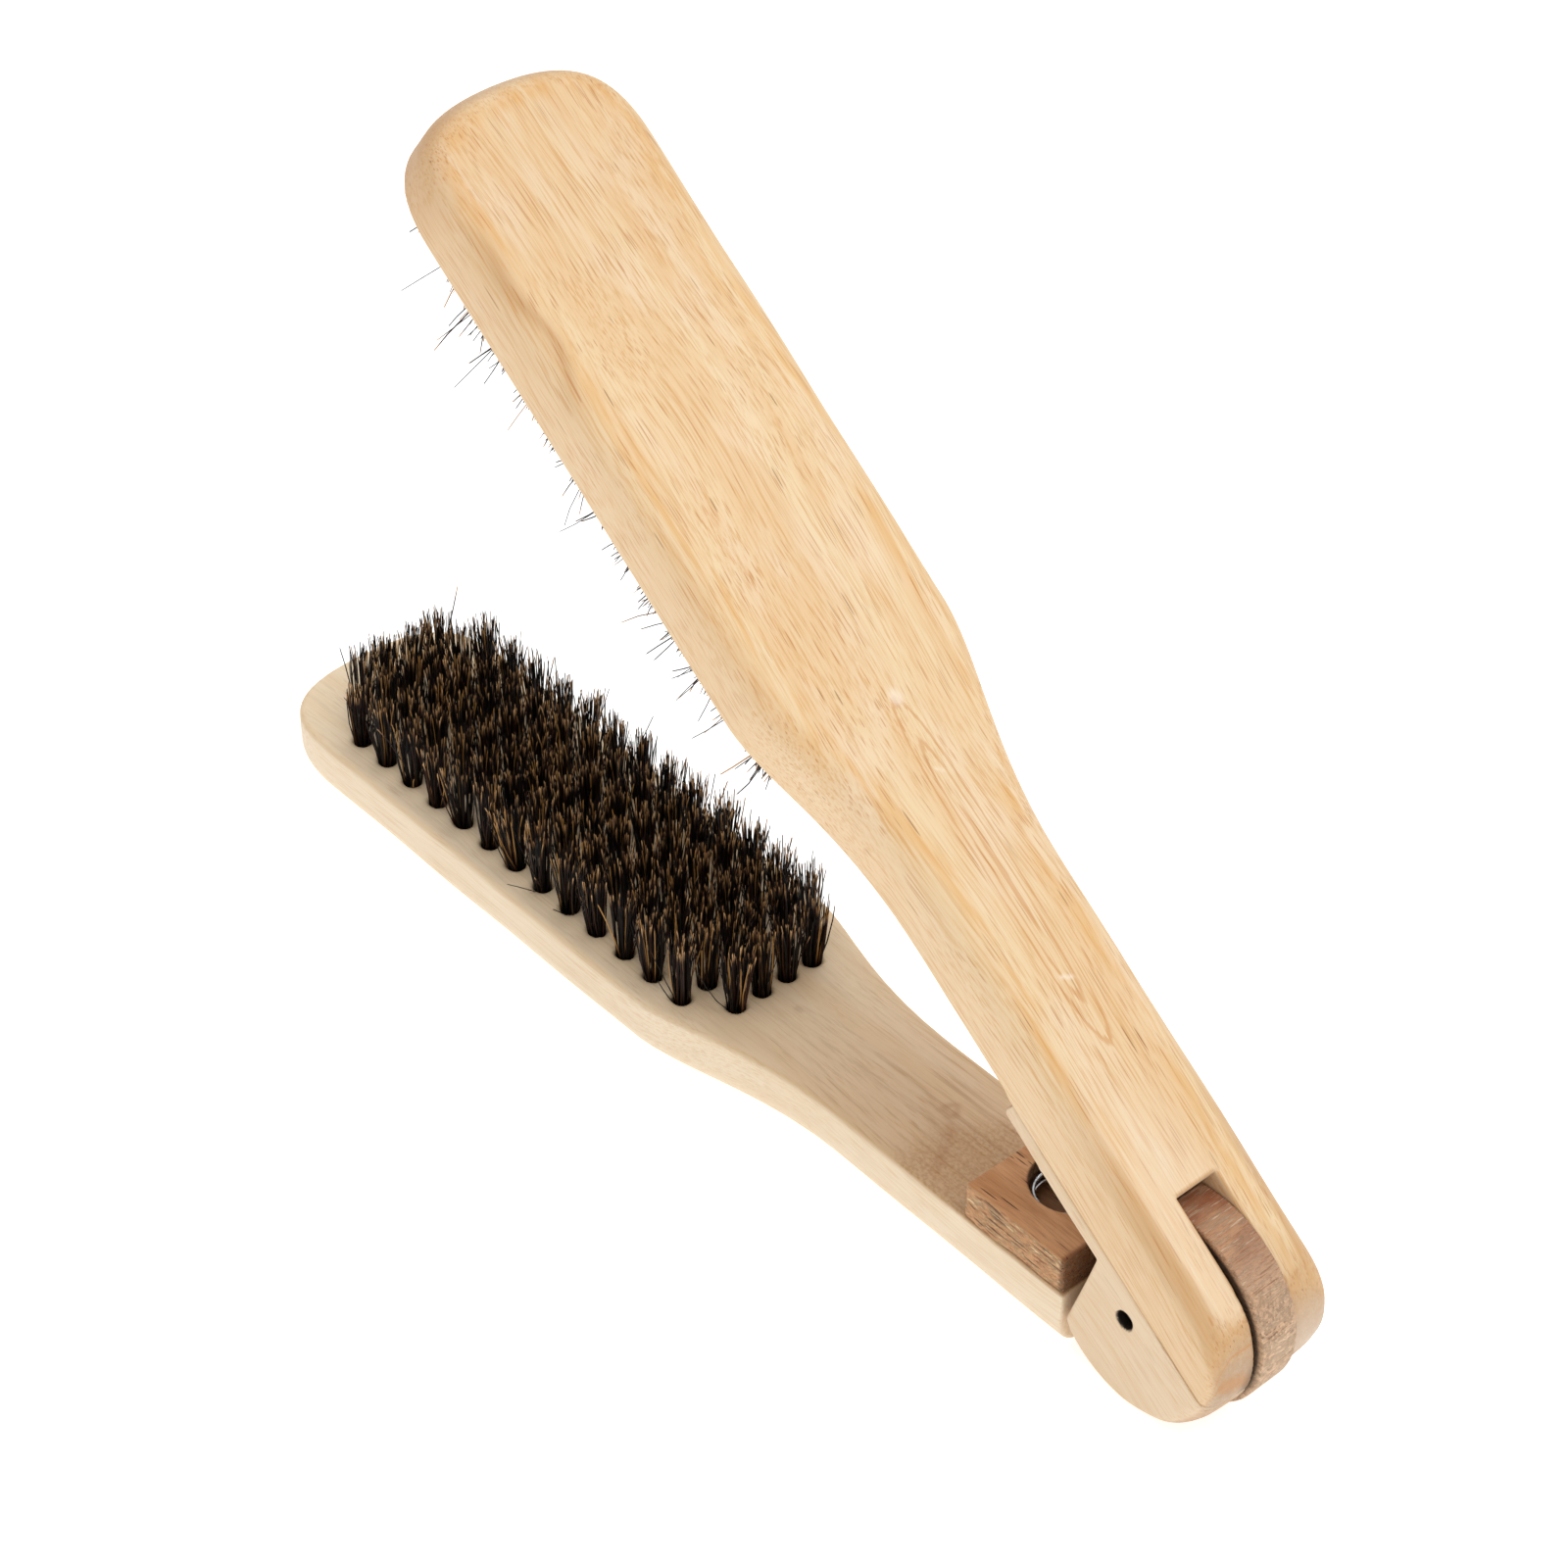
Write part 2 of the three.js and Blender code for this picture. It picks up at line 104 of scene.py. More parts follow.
# Edges. The back's flat face cuts the round on its edge a little short, which leaves a soft crease.
BACK_EDGE_RADIUS = 6
BACK_LIP = 0.6
CREASE = 0.4
CREASE_INSET = BACK_EDGE_RADIUS - math.sqrt(BACK_EDGE_RADIUS ** 2 - (BACK_EDGE_RADIUS - BACK_LIP) ** 2)
END_EDGE_RADIUS = 2.6
INNER_EDGE_RADIUS = 1.1
SEAM_EDGE_RADIUS = 0.12
CUT_EDGE = 0.3
LOWER_END_EDGE_RADIUS = 0.5
CHEEK_CORNER_RADIUS = 3.5
CHEEK_SHORTER_THAN_BOARD = 0.4
SEAM = 0.05
WAVE = 0.07

# Grid cells of the boards, the upper block and the lower block.
BOARD_CELL = (0.6, 0.45, 0.45)
UPPER_BLOCK_CELL = (0.32, 0.32, 0.32)
LOWER_BLOCK_CELL = (0.3, 0.3, 0.3)

# Hinge.
SLOT_HALF_WIDTH = 4.1
SLOT_INNER_END = 12
LOWER_BLOCK_TOP = 2.1
LOWER_BLOCK_FRONT = 34.7
LOWER_END_AT_BLOCK_TOP = 12.95
LOWER_END_AT_BACK = 12
UPPER_BLOCK_BOTTOM = 2.2
UPPER_BLOCK_FRONT = 36.2
UPPER_BLOCK_NOSE = 1.2
NOTCH_TOP = 10.1
STOP_FROM_PIN = 11.6
STOP_BELOW_PIN = 9.4
CHEEK_TOE = 0.12
CHEEK_STRETCH_RISE = (-13, -3)
BLOCK_EDGE = 0.7
BLOCK_CLEARANCE = 0.22
TONGUE_RADIUS = 17.9
TONGUE_BEHIND_PIN = 1.6
TONGUE_BELOW_PIN = 0.6
TONGUE_HALF_WIDTH = 3.75
TONGUE_SHIFT = 0.25
TONGUE_WALL = 11.5
TONGUE_NECK_RADIUS = 11.85
PIN_HOLE_RADIUS = 1.6
PIN_RADIUS = 1.3
PIN_CROWN = 0.35
PIN_SIDES = 32

# Spring and its seats.
SPRING_FROM_PIN = 24.2
SPRING_COIL_RADIUS = 5.7
SPRING_WIRE_RADIUS = 0.4
SPRING_TURNS = 6
SPRING_LOW = -3.6
SPRING_HIGH = 7.5
SPRING_BEND = (0.25, 0.75)
SPRING_STEPS_PER_TURN = 40
SPRING_WIRE_SIDES = 12
SEAT_RADIUS = 6.5
LOWER_SEAT_DEPTH = 6.4

# Tufts.
TUFT_PITCH_ACROSS = 5.6
TUFT_TIP_RADIUS = 3.25
TUFT_HOLE_RADIUS = 1.65
TUFT_HOLE_DEPTH = 5
TUFT_HEIGHT = 13
TUFT_ROOT_RADIUS = 1.45
TUFT_ROOT_DEPTH = 1.5
TUFT_FLARE = 1.95
BRISTLES_PER_TUFT = 68
BRISTLE_RADIUS = 0.15
BRISTLE_BOW = 1.05
STRAY_SHARE = 0.035
UPPER_STRAY_SHARE = 0.07
FALLEN_SHARE = 0.004
BRISTLE_SIDES = 3
BRISTLE_RINGS = (0, 0.4, 0.75, 0.97)
BRISTLE_TAPER = 0.35
UPPER_TUFT_LEAN = 3.3

# Marks on the boards in the half frame. A spot has x, y, half length, half width and turn.
UPPER_PALE_SPOTS = ((-96.6, 0.8, 2.2, 1.6), (-48, 0, 2.2, 0.5, 1.1), (-84, 0.6, 1.4, 0.3, 0.8))
# Painted shade on the end face beside the slot, given as a spot.
SLOT_SHADE = (18.5, -4.4, 4.5, 3.2)

# Loops of grain: along the handle, and a centre and size at the hinge end. The knot has x, y and radius.
FIGURE_MIDDLE = -66.5
FIGURE_HALF_LENGTH = 30.5
FIGURE_HALF_WIDTH = 2.7
END_FIGURE = (9, -12, -5)
END_FIGURE_SIZE = 15
KNOT_RING = (-52.3, -1.6, 1.2)
LOWER_KNOTS = ((-49, 1.6, 4.5, 1.5, 0.75), (-45.8, 6.5, 5.5, 1.6, 1.05), (-85.6, 1.2, 1.4, 0.9))

# Where along x a mark or a shade begins, and where it is full.
HINGE_SHADE = (-40, -8)
# The edge pairs and the tip pair place painted shade on the upper board's near roundover.
EDGE_SHADE_START = (-194, -180)
EDGE_SHADE_END = (-152, -166)
TIP_SHADE = (-186, -203)
SANDED_PATCH = (-51, -43.5)
THROAT_SHADE = (-112, -45)

# Stage: places are in metres. The lens, its sensor and the floor's half size are in millimetres.
CAMERA_AZIMUTH = math.radians(47.78)
CAMERA_ELEVATION = math.radians(40.59)
CAMERA_ROLL = math.radians(0.886)
CAMERA_DISTANCE = 0.55796
CAMERA_RIGHT = -0.06024
CAMERA_UP = 0.07462
CAMERA_LENS = 84.9
SENSOR_WIDTH = 36
CAMERA_CLIP = (0.05, 20)
FLOOR_HALF_SIZE = 18000
FLOOR_BELOW = 0.0002
FLOOR_GLOW = 0.62
SKY_STRENGTH = 0.72
LIGHT_AIM = (0, 0, 0.05)

rng = np.random.default_rng(7)


# ---------------------------------------------------------------- solids from signed distances

def smooth(low, high, value):
    """0 before low, 1 after high, and a smooth rise between them."""
    t = np.clip((value - low) / (high - low), 0, 1)
    return t * t * (3 - 2 * t)


def rounded(a, b, radius):
    """What lies inside both a and b, with the edge between them rounded."""
    corner = np.hypot(np.maximum(a + radius, 0), np.maximum(b + radius, 0))
    return np.minimum(-radius, np.maximum(a, b)) + corner


def cut(solid, tool, edge):
    return rounded(solid, -tool, edge)


def bezier(p0, p1, p2, p3):
    """Points of a cubic curve, without its last one."""
    t = np.linspace(0, 1, CURVE_STEPS, endpoint=False)[:, None]
    p0, p1, p2, p3 = (np.array(p, float) for p in (p0, p1, p2, p3))
    return (1 - t) ** 3 * p0 + 3 * t * (1 - t) ** 2 * p1 + 3 * t ** 2 * (1 - t) * p2 + t ** 3 * p3


def arc(x, y, radius, start, end, steps=CURVE_STEPS):
    angle = np.linspace(start, end, steps)
    return np.stack([x + radius * np.cos(angle), y + radius * np.sin(angle)], axis=1)


def polygon_field(points, u, v):
    """Signed distance to a closed outline, negative inside it."""
    u, v = np.broadcast_arrays(u, v)
    nearest = np.full(u.shape, np.inf)
    inside = np.zeros(u.shape, bool)
    for (u1, v1), (u2, v2) in zip(points, np.roll(points, -1, axis=0)):
        du, dv = u2 - u1, v2 - v1
        length = du * du + dv * dv
        if length < 1e-12:
            continue
        t = np.clip(((u - u1) * du + (v - v1) * dv) / length, 0, 1)
        nearest = np.minimum(nearest, (u - u1 - t * du) ** 2 + (v - v1 - t * dv) ** 2)
        if dv:
            inside ^= ((v1 <= v) != (v2 <= v)) & (u < u1 + (v - v1) * du / dv)
    return np.where(inside, -1, 1) * np.sqrt(nearest)


def grid(low, high, cell):
    """Coordinates of a block of grid points as three arrays that broadcast together."""
    axes = [np.arange(a, b + c, c) for a, b, c in zip(low, high, cell)]
    return axes[0][:, None, None], axes[1][None, :, None], axes[2][None, None, :]


def cell_vertices(field, cells):
    """For each cell, the mean of the points where the surface crosses its edges."""
    corners = list(np.ndindex(2, 2, 2))
    value = {c: field[tuple((cells + c).T)] for c in corners}
    total = np.zeros((len(cells), 3))
    count = np.zeros(len(cells))
    for c in corners:
        for axis in range(3):
            if c[axis]:
                continue
            a = value[c]
            b = value[tuple(1 if i == axis else k for i, k in enumerate(c))]
            crosses = (a < 0) != (b < 0)
            point = np.tile(np.array(c, float), (len(cells), 1))
            point[:, axis] = np.where(crosses, a / np.where(crosses, a - b, 1), 0)
            total += crosses[:, None] * point
            count += crosses
    return cells + total / count[:, None]


def surface_nets(field, low, cell):
    """Quad mesh of the field's zero level: one vertex in each grid cell that the surface crosses."""
    inside = field < 0
    shape = np.array(field.shape) - 1
    filled = np.zeros(shape, np.int8)
    for c in np.ndindex(2, 2, 2):
        filled += inside[tuple(slice(k, k + n) for k, n in zip(c, shape))]
    cells = np.argwhere((filled > 0) & (filled < 8))
    vertices = np.array(low) + cell_vertices(field, cells) * np.array(cell)
    number = np.zeros(shape, int)
    number[tuple(cells.T)] = np.arange(len(cells))
    faces = []
    step = np.eye(3, dtype=int)
    for axis in range(3):
        u, v = step[(axis + 1) % 3], step[(axis + 2) % 3]
        start = [slice(0, n) if i == axis else slice(1, n) for i, n in enumerate(shape)]
        end = [slice(1, n + 1) if i == axis else slice(1, n) for i, n in enumerate(shape)]
        first, second = inside[tuple(start)], inside[tuple(end)]
        found = np.argwhere(first != second)
        p = found + u + v
        quad = [number[tuple(q.T)] for q in (p - u - v, p - v, p, p - u)]
        quad = np.stack(quad, axis=1)
        leaves = first[tuple(found.T)]
        faces.append(np.where(leaves[:, None], quad, quad[:, ::-1]))
    return vertices, np.concatenate(faces)


# ---------------------------------------------------------------- wooden parts

def board_outline(half):
    """Plan outline of a paddle, from its hinge end to the rounded tip."""
    side, head = HANDLE_HALF_WIDTH, HEAD_HALF_WIDTH
    tip = -PIN_TO_TIP
    head_end = tip + HEAD_END_LENGTH
    if half == "upper":
        hinge = np.concatenate([[[END_CORNER[0][0], 0]], bezier(*END_CORNER), [[END_TAPER_START, side]]])
    else:
        hinge = np.array([[0, 0], [0, side]])
    neck = bezier(
        (-NECK_START, side), (-NECK_START - NECK_HANDLE_PULL, side),
        (NECK_HEAD_PULL - NECK_END, head), (-NECK_END, head),
    )
    end = bezier(
        (head_end, head), (head_end - HEAD_END_SIDE_PULL, head),
        (tip, HEAD_END_TIP_PULL), (tip, 0),
    )
    far = np.concatenate([hinge, neck, end, [[tip, 0]]])
    near = far[::-1][1:-1] * [1, -1]
    return np.concatenate([far, near])


def tuft_places(half):
    """(x, y) of each tuft of each cross row, in the half frame, from the CAD rows' boxes."""
    to_half = HALF[half].inverted()
    rows = []
    for name in sorted(n for n in frame["nodes"] if n.startswith(f"{half}_bristle_row")):
        low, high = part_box(name)
        middle = to_half @ ((low + high) / 2)
        width = (high.y - low.y) / MM - 2 * TUFT_TIP_RADIUS
        count = round(width / TUFT_PITCH_ACROSS) + 1
        along = middle.x / MM
        ys = (np.arange(count) - (count - 1) / 2) * TUFT_PITCH_ACROSS
        rows.append((name, [(along, y) for y in ys]))
    return rows


def sanded_waves(x, y, z):
    """Slow, shallow waves that sanding by hand leaves."""
    return WAVE * (
        np.sin(x / 5.3 + y / 9 + 0.7) * np.sin(y / 6.1 - z / 7 + 1.1)
        + 0.7 * np.sin(x / 11.7 - y / 4.3 + z / 5)
    )


def board_solid(x, y, z, half):
    """A paddle from the sides, the rounded back and the hinge end down to the tuft holes."""
    plan = polygon_field(board_outline(half), x[:, :, 0], y[:, :, 0])[:, :, None]
    solid = rounded(plan, z - BACK - BACK_LIP, BACK_EDGE_RADIUS)
    if half == "upper":
        solid = rounded(solid, round_end(x, z), END_EDGE_RADIUS)
    solid = rounded(solid, z - BACK, CREASE)
    free = smooth(-UPPER_BLOCK_FRONT, -UPPER_BLOCK_FRONT - 3, x)
    edge = SEAM_EDGE_RADIUS + (INNER_EDGE_RADIUS - SEAM_EDGE_RADIUS) * free
    solid = rounded(solid, INNER - z, edge)
    solid = solid + sanded_waves(x, y, z) * smooth(INNER + 1, INNER + 3, z)
    holes = np.full(plan.shape, np.inf)
    for _, places in tuft_places(half):
        for hole_x, hole_y in places:
            holes = np.minimum(holes, np.hypot(x - hole_x, y - hole_y) - TUFT_HOLE_RADIUS)
    return cut(solid, np.maximum(holes, z - INNER - TUFT_HOLE_DEPTH), CUT_EDGE)


def slot(x, y):
    return np.maximum(np.abs(y) - SLOT_HALF_WIDTH, -SLOT_INNER_END - x)


def spring_seat(x, y):
    return np.hypot(x + SPRING_FROM_PIN, y) - SEAT_RADIUS


def pin_hole(x, z):
    return np.hypot(x, z) - PIN_HOLE_RADIUS


def round_end(x, z):
    """The hinge end's rounded face, which meets the flat back at a soft crease."""
    x0, z0 = END_FACE_CENTRE
    return np.hypot(np.maximum(x - x0, 0), z - z0) - END_FACE_RADIUS


def upper_board():
    low = (-PIN_TO_TIP - 1, -HEAD_HALF_WIDTH - 1, INNER - 1)
    x, y, z = grid(low, (END_CORNER[0][0] + 1, HEAD_HALF_WIDTH + 1, BACK + 1), BOARD_CELL)
    solid = cut(board_solid(x, y, z, "upper"), slot(x, y), CUT_EDGE)
    return surface_nets(solid, low, BOARD_CELL)


def lower_end(z):
    """Where the lower half's sloping end face lies, at a height in the lower half frame."""
    slope = (LOWER_END_AT_BLOCK_TOP - LOWER_END_AT_BACK) / (BACK + LOWER_BLOCK_TOP)
    return slope * (z + LOWER_BLOCK_TOP) - LOWER_END_AT_BLOCK_TOP


def lower_board():
    low = (-PIN_TO_TIP - 1, -HEAD_HALF_WIDTH - 1, INNER - 1)
    x, y, z = grid(low, (-LOWER_END_AT_BACK + 2, HEAD_HALF_WIDTH + 1, BACK + 1), BOARD_CELL)
    solid = board_solid(x, y, z, "lower")
    solid = rounded(solid, x - lower_end(z), LOWER_END_EDGE_RADIUS)
    return surface_nets(solid, low, BOARD_CELL)


def turned(x, z, angle):
    """A point of the side view, turned about the pin."""
    return np.array([
        x * math.cos(angle) - z * math.sin(angle),
        x * math.sin(angle) + z * math.cos(angle),
    ])


def cheek_profile(top):
    """Side view of the upper block: a thin slab that deepens into half-round cheeks about the pin."""
    foot = turned(-STOP_FROM_PIN, -STOP_BELOW_PIN, OPEN_ANGLE)
    foot_angle = math.atan2(foot[1] - END_ABOVE_PIN, foot[0] - END_BEHIND_PIN) + CHEEK_TOE
    top_angle = math.asin(min(1, (top - END_ABOVE_PIN) / END_RADIUS))
    front, bottom = -UPPER_BLOCK_FRONT, UPPER_BLOCK_BOTTOM
    radius = UPPER_BLOCK_NOSE
    nose = arc(front + radius, bottom + radius, radius, math.pi, 1.5 * math.pi, 6)
    cheek = arc(END_BEHIND_PIN, END_ABOVE_PIN, END_RADIUS, foot_angle, top_angle, 3 * CURVE_STEPS)
    stretch = (END_LENGTH / END_RADIUS - 1) * smooth(*CHEEK_STRETCH_RISE, cheek[:, 1])
    cheek[:, 0] += stretch * np.maximum(cheek[:, 0] - END_BEHIND_PIN, 0)
    return np.concatenate([[[front, top]], nose, [[-NOTCH_TOP, bottom]], [foot], cheek])


def upper_block():
    low = (-UPPER_BLOCK_FRONT - 1, -HANDLE_HALF_WIDTH - 1, -END_RADIUS - 1)
    x, y, z = grid(low, (END_CORNER[0][0] + 1, HANDLE_HALF_WIDTH + 1, INNER + 1), UPPER_BLOCK_CELL)
    profile = polygon_field(cheek_profile(INNER + 2), x[:, 0, :], z[:, 0, :])[:, None, :]
    profile = np.maximum(profile, round_end(x, z))
    plan = polygon_field(board_outline("upper"), x[:, :, 0], y[:, :, 0])[:, :, None]
    end = x - END_CORNER[0][0] + CHEEK_SHORTER_THAN_BOARD
    square = rounded(np.abs(y) - HANDLE_HALF_WIDTH, end, CHEEK_CORNER_RADIUS)
    plan = square + (plan - square) * smooth(-7, INNER, z)
    edge = BLOCK_EDGE + (END_EDGE_RADIUS - BLOCK_EDGE) * smooth(10, 19, x)
    solid = rounded(profile, plan, edge) + sanded_waves(x, y, z)
    solid = np.maximum(solid, z - INNER + SEAM)
    for tool in (slot(x, y), spring_seat(x, y), pin_hole(x, z)):
        solid = cut(solid, tool, CUT_EDGE)
    return surface_nets(solid, low, UPPER_BLOCK_CELL)


def tongue_profile():
    """Side view of the tongue in world directions: a disc, cut away ahead of the slot's inner end."""
    wall_z = math.sqrt(TONGUE_NECK_RADIUS ** 2 - TONGUE_WALL ** 2)
    foot = turned(-TONGUE_WALL, wall_z, -OPEN_ANGLE)
    up = turned(0, 1, -OPEN_ANGLE)
    centre = np.array([TONGUE_BEHIND_PIN, -TONGUE_BELOW_PIN])
    to_foot = foot - centre
    along = to_foot @ up
    wall_top = foot + up * (math.sqrt(along ** 2 - to_foot @ to_foot + TONGUE_RADIUS ** 2) - along)
    flat = -BACK + SEAM
    flat_angle = math.asin((flat - centre[1]) / TONGUE_RADIUS)
    wall_angle = math.atan2(wall_top[1] - centre[1], wall_top[0] - centre[0])
    neck_start = math.pi - math.asin(LOWER_BLOCK_TOP / TONGUE_NECK_RADIUS)
    root = -LOWER_END_AT_BLOCK_TOP - 3
    return np.concatenate([
        [[root, LOWER_BLOCK_TOP - 2 * BLOCK_CLEARANCE]],
        arc(0, 0, TONGUE_NECK_RADIUS, neck_start, math.atan2(foot[1], foot[0]), 6),
        arc(*centre, TONGUE_RADIUS, wall_angle, flat_angle, 3 * CURVE_STEPS),
        [[lower_end(-flat) + SEAM, flat], [lower_end(INNER) + SEAM, SEAM - INNER], [root, SEAM - INNER]],
    ])


def lower_block():
    """Drawn in the lower half frame, where the world's side view is turned over: z is -z and y is -y."""
    low = (-LOWER_BLOCK_FRONT - 1, -HANDLE_HALF_WIDTH - 1, -TONGUE_RADIUS - 1)
    high = (TONGUE_BEHIND_PIN + TONGUE_RADIUS + 1, HANDLE_HALF_WIDTH + 1, BACK + 1)
    x, y, z = grid(low, high, LOWER_BLOCK_CELL)
    body = rounded(-LOWER_BLOCK_FRONT - x, -LOWER_BLOCK_TOP - z, BLOCK_EDGE)
    body = rounded(body, x - lower_end(z), BLOCK_EDGE)
    body = rounded(body, np.abs(y) - HANDLE_HALF_WIDTH, BLOCK_EDGE)
    body = np.maximum(body, z - INNER + SEAM) + 0.6 * sanded_waves(3 * x, y, 3 * z) + BLOCK_CLEARANCE
    profile = polygon_field(tongue_profile(), x[:, 0, :], -z[:, 0, :])[:, None, :]
    tongue = rounded(profile, np.abs(y + TONGUE_SHIFT) - TONGUE_HALF_WIDTH, CUT_EDGE)
    solid = np.minimum(body, tongue)
    seat = np.maximum(spring_seat(x, y), z + LOWER_BLOCK_TOP - LOWER_SEAT_DEPTH)
    for tool in (seat, pin_hole(x, z)):
        solid = cut(solid, tool, CUT_EDGE)
    return surface_nets(solid, low, LOWER_BLOCK_CELL)


# ---------------------------------------------------------------- pieces

def mesh_piece(name, vertices, faces, matrix=Matrix.Identity(4)):
    """A smooth-shaded mesh object, from vertices in millimetres."""
    mesh = bpy.data.meshes.new(name)
    mesh.from_pydata((np.asarray(vertices) * MM).tolist(), [], faces)
    mesh.shade_smooth()
    piece = bpy.data.objects.new(name, mesh)
    piece.matrix_world = matrix
    bpy.context.scene.collection.objects.link(piece)
    return piece


def store_colours(piece, name, colours):
    attribute = piece.data.attributes.new(name, "FLOAT_COLOR", "POINT")
    attribute.data.foreach_set("color", np.asarray(colours, np.float32).ravel())


def finish_piece(piece, body, material, slot_name, *nodes):
    piece.data.materials.append(material)
    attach(piece, body)
    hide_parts(*nodes)


def vertex_arrays(piece):
    """Vertices in millimetres and their normals, both in the half frame."""
    count = len(piece.data.vertices)
    points = np.empty(3 * count)
    normals = np.empty(3 * count)
    piece.data.vertices.foreach_get("co", points)
    piece.data.vertex_normals.foreach_get("vector", normals)
    return points.reshape(-1, 3) / MM, normals.reshape(-1, 3)


def spot(points, x, y, half_length, half_width, turn=0.0):
    """1 at a place on the board and 0 past an ellipse about it, which may be turned."""
    dx, dy = points[:, 0] - x, points[:, 1] - y
    along = dx * math.cos(turn) + dy * math.sin(turn)
    across = dy * math.cos(turn) - dx * math.sin(turn)
    return 1 - smooth(0.3, 1, np.hypot(along / half_length, across / half_width))


def spots(points, places):
    return np.max([spot(points, *place) for place in places], axis=0)


def facing(normals):
    """How far each vertex is side, inner face and end grain."""
    slope = np.hypot(normals[:, 0], normals[:, 1])
    side = smooth(0.6, 0.97, slope)
    inner = smooth(0.5, 0.9, -normals[:, 2])
    end = smooth(0.35, 0.9, np.abs(normals[:, 0]))
    return side, inner, end


def upper_marks(points, normals, inset):
    """Pale spots, painted light on the flat top by the hinge, grain figure, painted shade, and darkening
    towards the tip of the upper board, most of them on its back only.
    """
    x, y = points[:, 0], points[:, 1]
    back = smooth(0.5, 0.8, normals[:, 2])
    slope = np.hypot(normals[:, 0], normals[:, 1])
    hinge = smooth(*HINGE_SHADE, x)
    # Painted light: the flat top near the hinge is painted paler, except towards the far side.
    painted_top_light = 0.5 * hinge * smooth(0.4, 0.2, slope) * smooth(7, 1, y)
    pale = np.maximum(spots(points, UPPER_PALE_SPOTS), painted_top_light) * back
    end = smooth(0.3, 0.7, normals[:, 0])
    pale = np.maximum(pale, 0.5 * smooth(0.5, 0.9, normals[:, 0]) * smooth(2, 6, y))
    figure = np.hypot(((x - FIGURE_MIDDLE) / FIGURE_HALF_LENGTH) ** 2, (y - 0.4) / FIGURE_HALF_WIDTH)
    end_rings = np.linalg.norm(points - END_FIGURE, axis=1) / END_FIGURE_SIZE - 0.6
    figure = np.minimum(figure + 2 * (1 - back), end_rings + 2 * (1 - end * smooth(0, -3, y)))
    # Painted shade: a wavy band along the near roundover by the head, and the roundover at the tip's near
    # corner.
    wander = np.sin(x / 8.3) + 0.6 * np.sin(x / 3.1 + 2)
    edge = np.exp(-((inset - CREASE_INSET + 1.3 + wander) / 1.0) ** 2)
    where = smooth(*EDGE_SHADE_START, x) * smooth(*EDGE_SHADE_END, x)
    tip = smooth(*TIP_SHADE, x) * smooth(3, -14, y) * smooth(CREASE_INSET, 0.4, inset)
    roundover_edge_shade = np.maximum(edge * where * smooth(2, -6, y), 0.8 * tip)
    roundover = smooth(0.15, 0.42, slope) * (1 - 0.7 * smooth(0.8, 0.97, slope))
    far_lobe = 0.72 * smooth(0, 8, y) * smooth(-5, 12, x)
    shade = (0.18 + 0.82 * hinge) * roundover + 0.28 * smooth(-140, -200, x) + far_lobe
    # Painted shade on the end face beside the slot.
    smudge_and_shade = spot(points, *SLOT_SHADE) * smooth(0.25, 0.6, normals[:, 0])
    return pale, figure, roundover_edge_shade, np.clip(shade, 0, 1), smudge_and_shade


def lower_marks(points, inner):
    """A knot with its trail, the roughly sanded patch beside the block, and shading of the lower board."""
    x, y = points[:, 0], points[:, 1]
    knot_x, knot_y, knot_radius = KNOT_RING
    from_knot = np.hypot(x - knot_x, y - knot_y + 0.3 * np.sin(2 * x))
    ring = 0.8 * np.exp(-((from_knot - knot_radius) / 0.7) ** 2)
    knot = np.maximum(ring, 0.5 * spots(points, LOWER_KNOTS)) * inner
    edge = 1.6 * np.sin(y / 4.1 + 1) + 0.6 * np.sin(y / 1.3)
    sanded = smooth(*SANDED_PATCH, x + 0.35 * y + edge) * inner
    return knot, sanded, smooth(*THROAT_SHADE, x) * inner


def paint_board(piece, half):
    """Stores the crease, side, inner face and end grain, and the marks that this board carries."""
    points, normals = vertex_arrays(piece)
    x, y, z = points.T
    side, inner, end = facing(normals)
    inset = -polygon_field(board_outline(half), x, y)
    back = smooth(BACK - 3.5, BACK - 1, z)
    wander = 0.5 * np.sin(x / 8.3) + 0.3 * np.sin(x / 3.1 + 2)
    crease = np.exp(-((inset - CREASE_INSET - 1.1 + wander) / 1.7) ** 2) * back
    end = end * np.where(x < END_TAPER_START, 0.5, 1)
    store_colours(piece, "zones", np.stack([crease, side, inner, end], axis=1))
    none = np.zeros(len(x))
    rim = smooth(0.15, 0.6, np.hypot(normals[:, 0], normals[:, 1])) * smooth(0.15, 0.5, -normals[:, 2])
    if half == "upper":
        pale, figure, roundover_edge_shade, shade, smudge_and_shade = upper_marks(points, normals, inset)
        marks = [pale, none, none, shade]
        details = [np.minimum(figure / 2, 1), roundover_edge_shade, rim, 0.5 * smudge_and_shade]
    else:
        knot, sanded, shade = lower_marks(points, inner)
        marks = [none, knot, sanded, shade]
        details = [none + 1, none, rim, none]
    store_colours(piece, "marks", np.stack(marks, axis=1))
    store_colours(piece, "details", np.stack(details, axis=1))


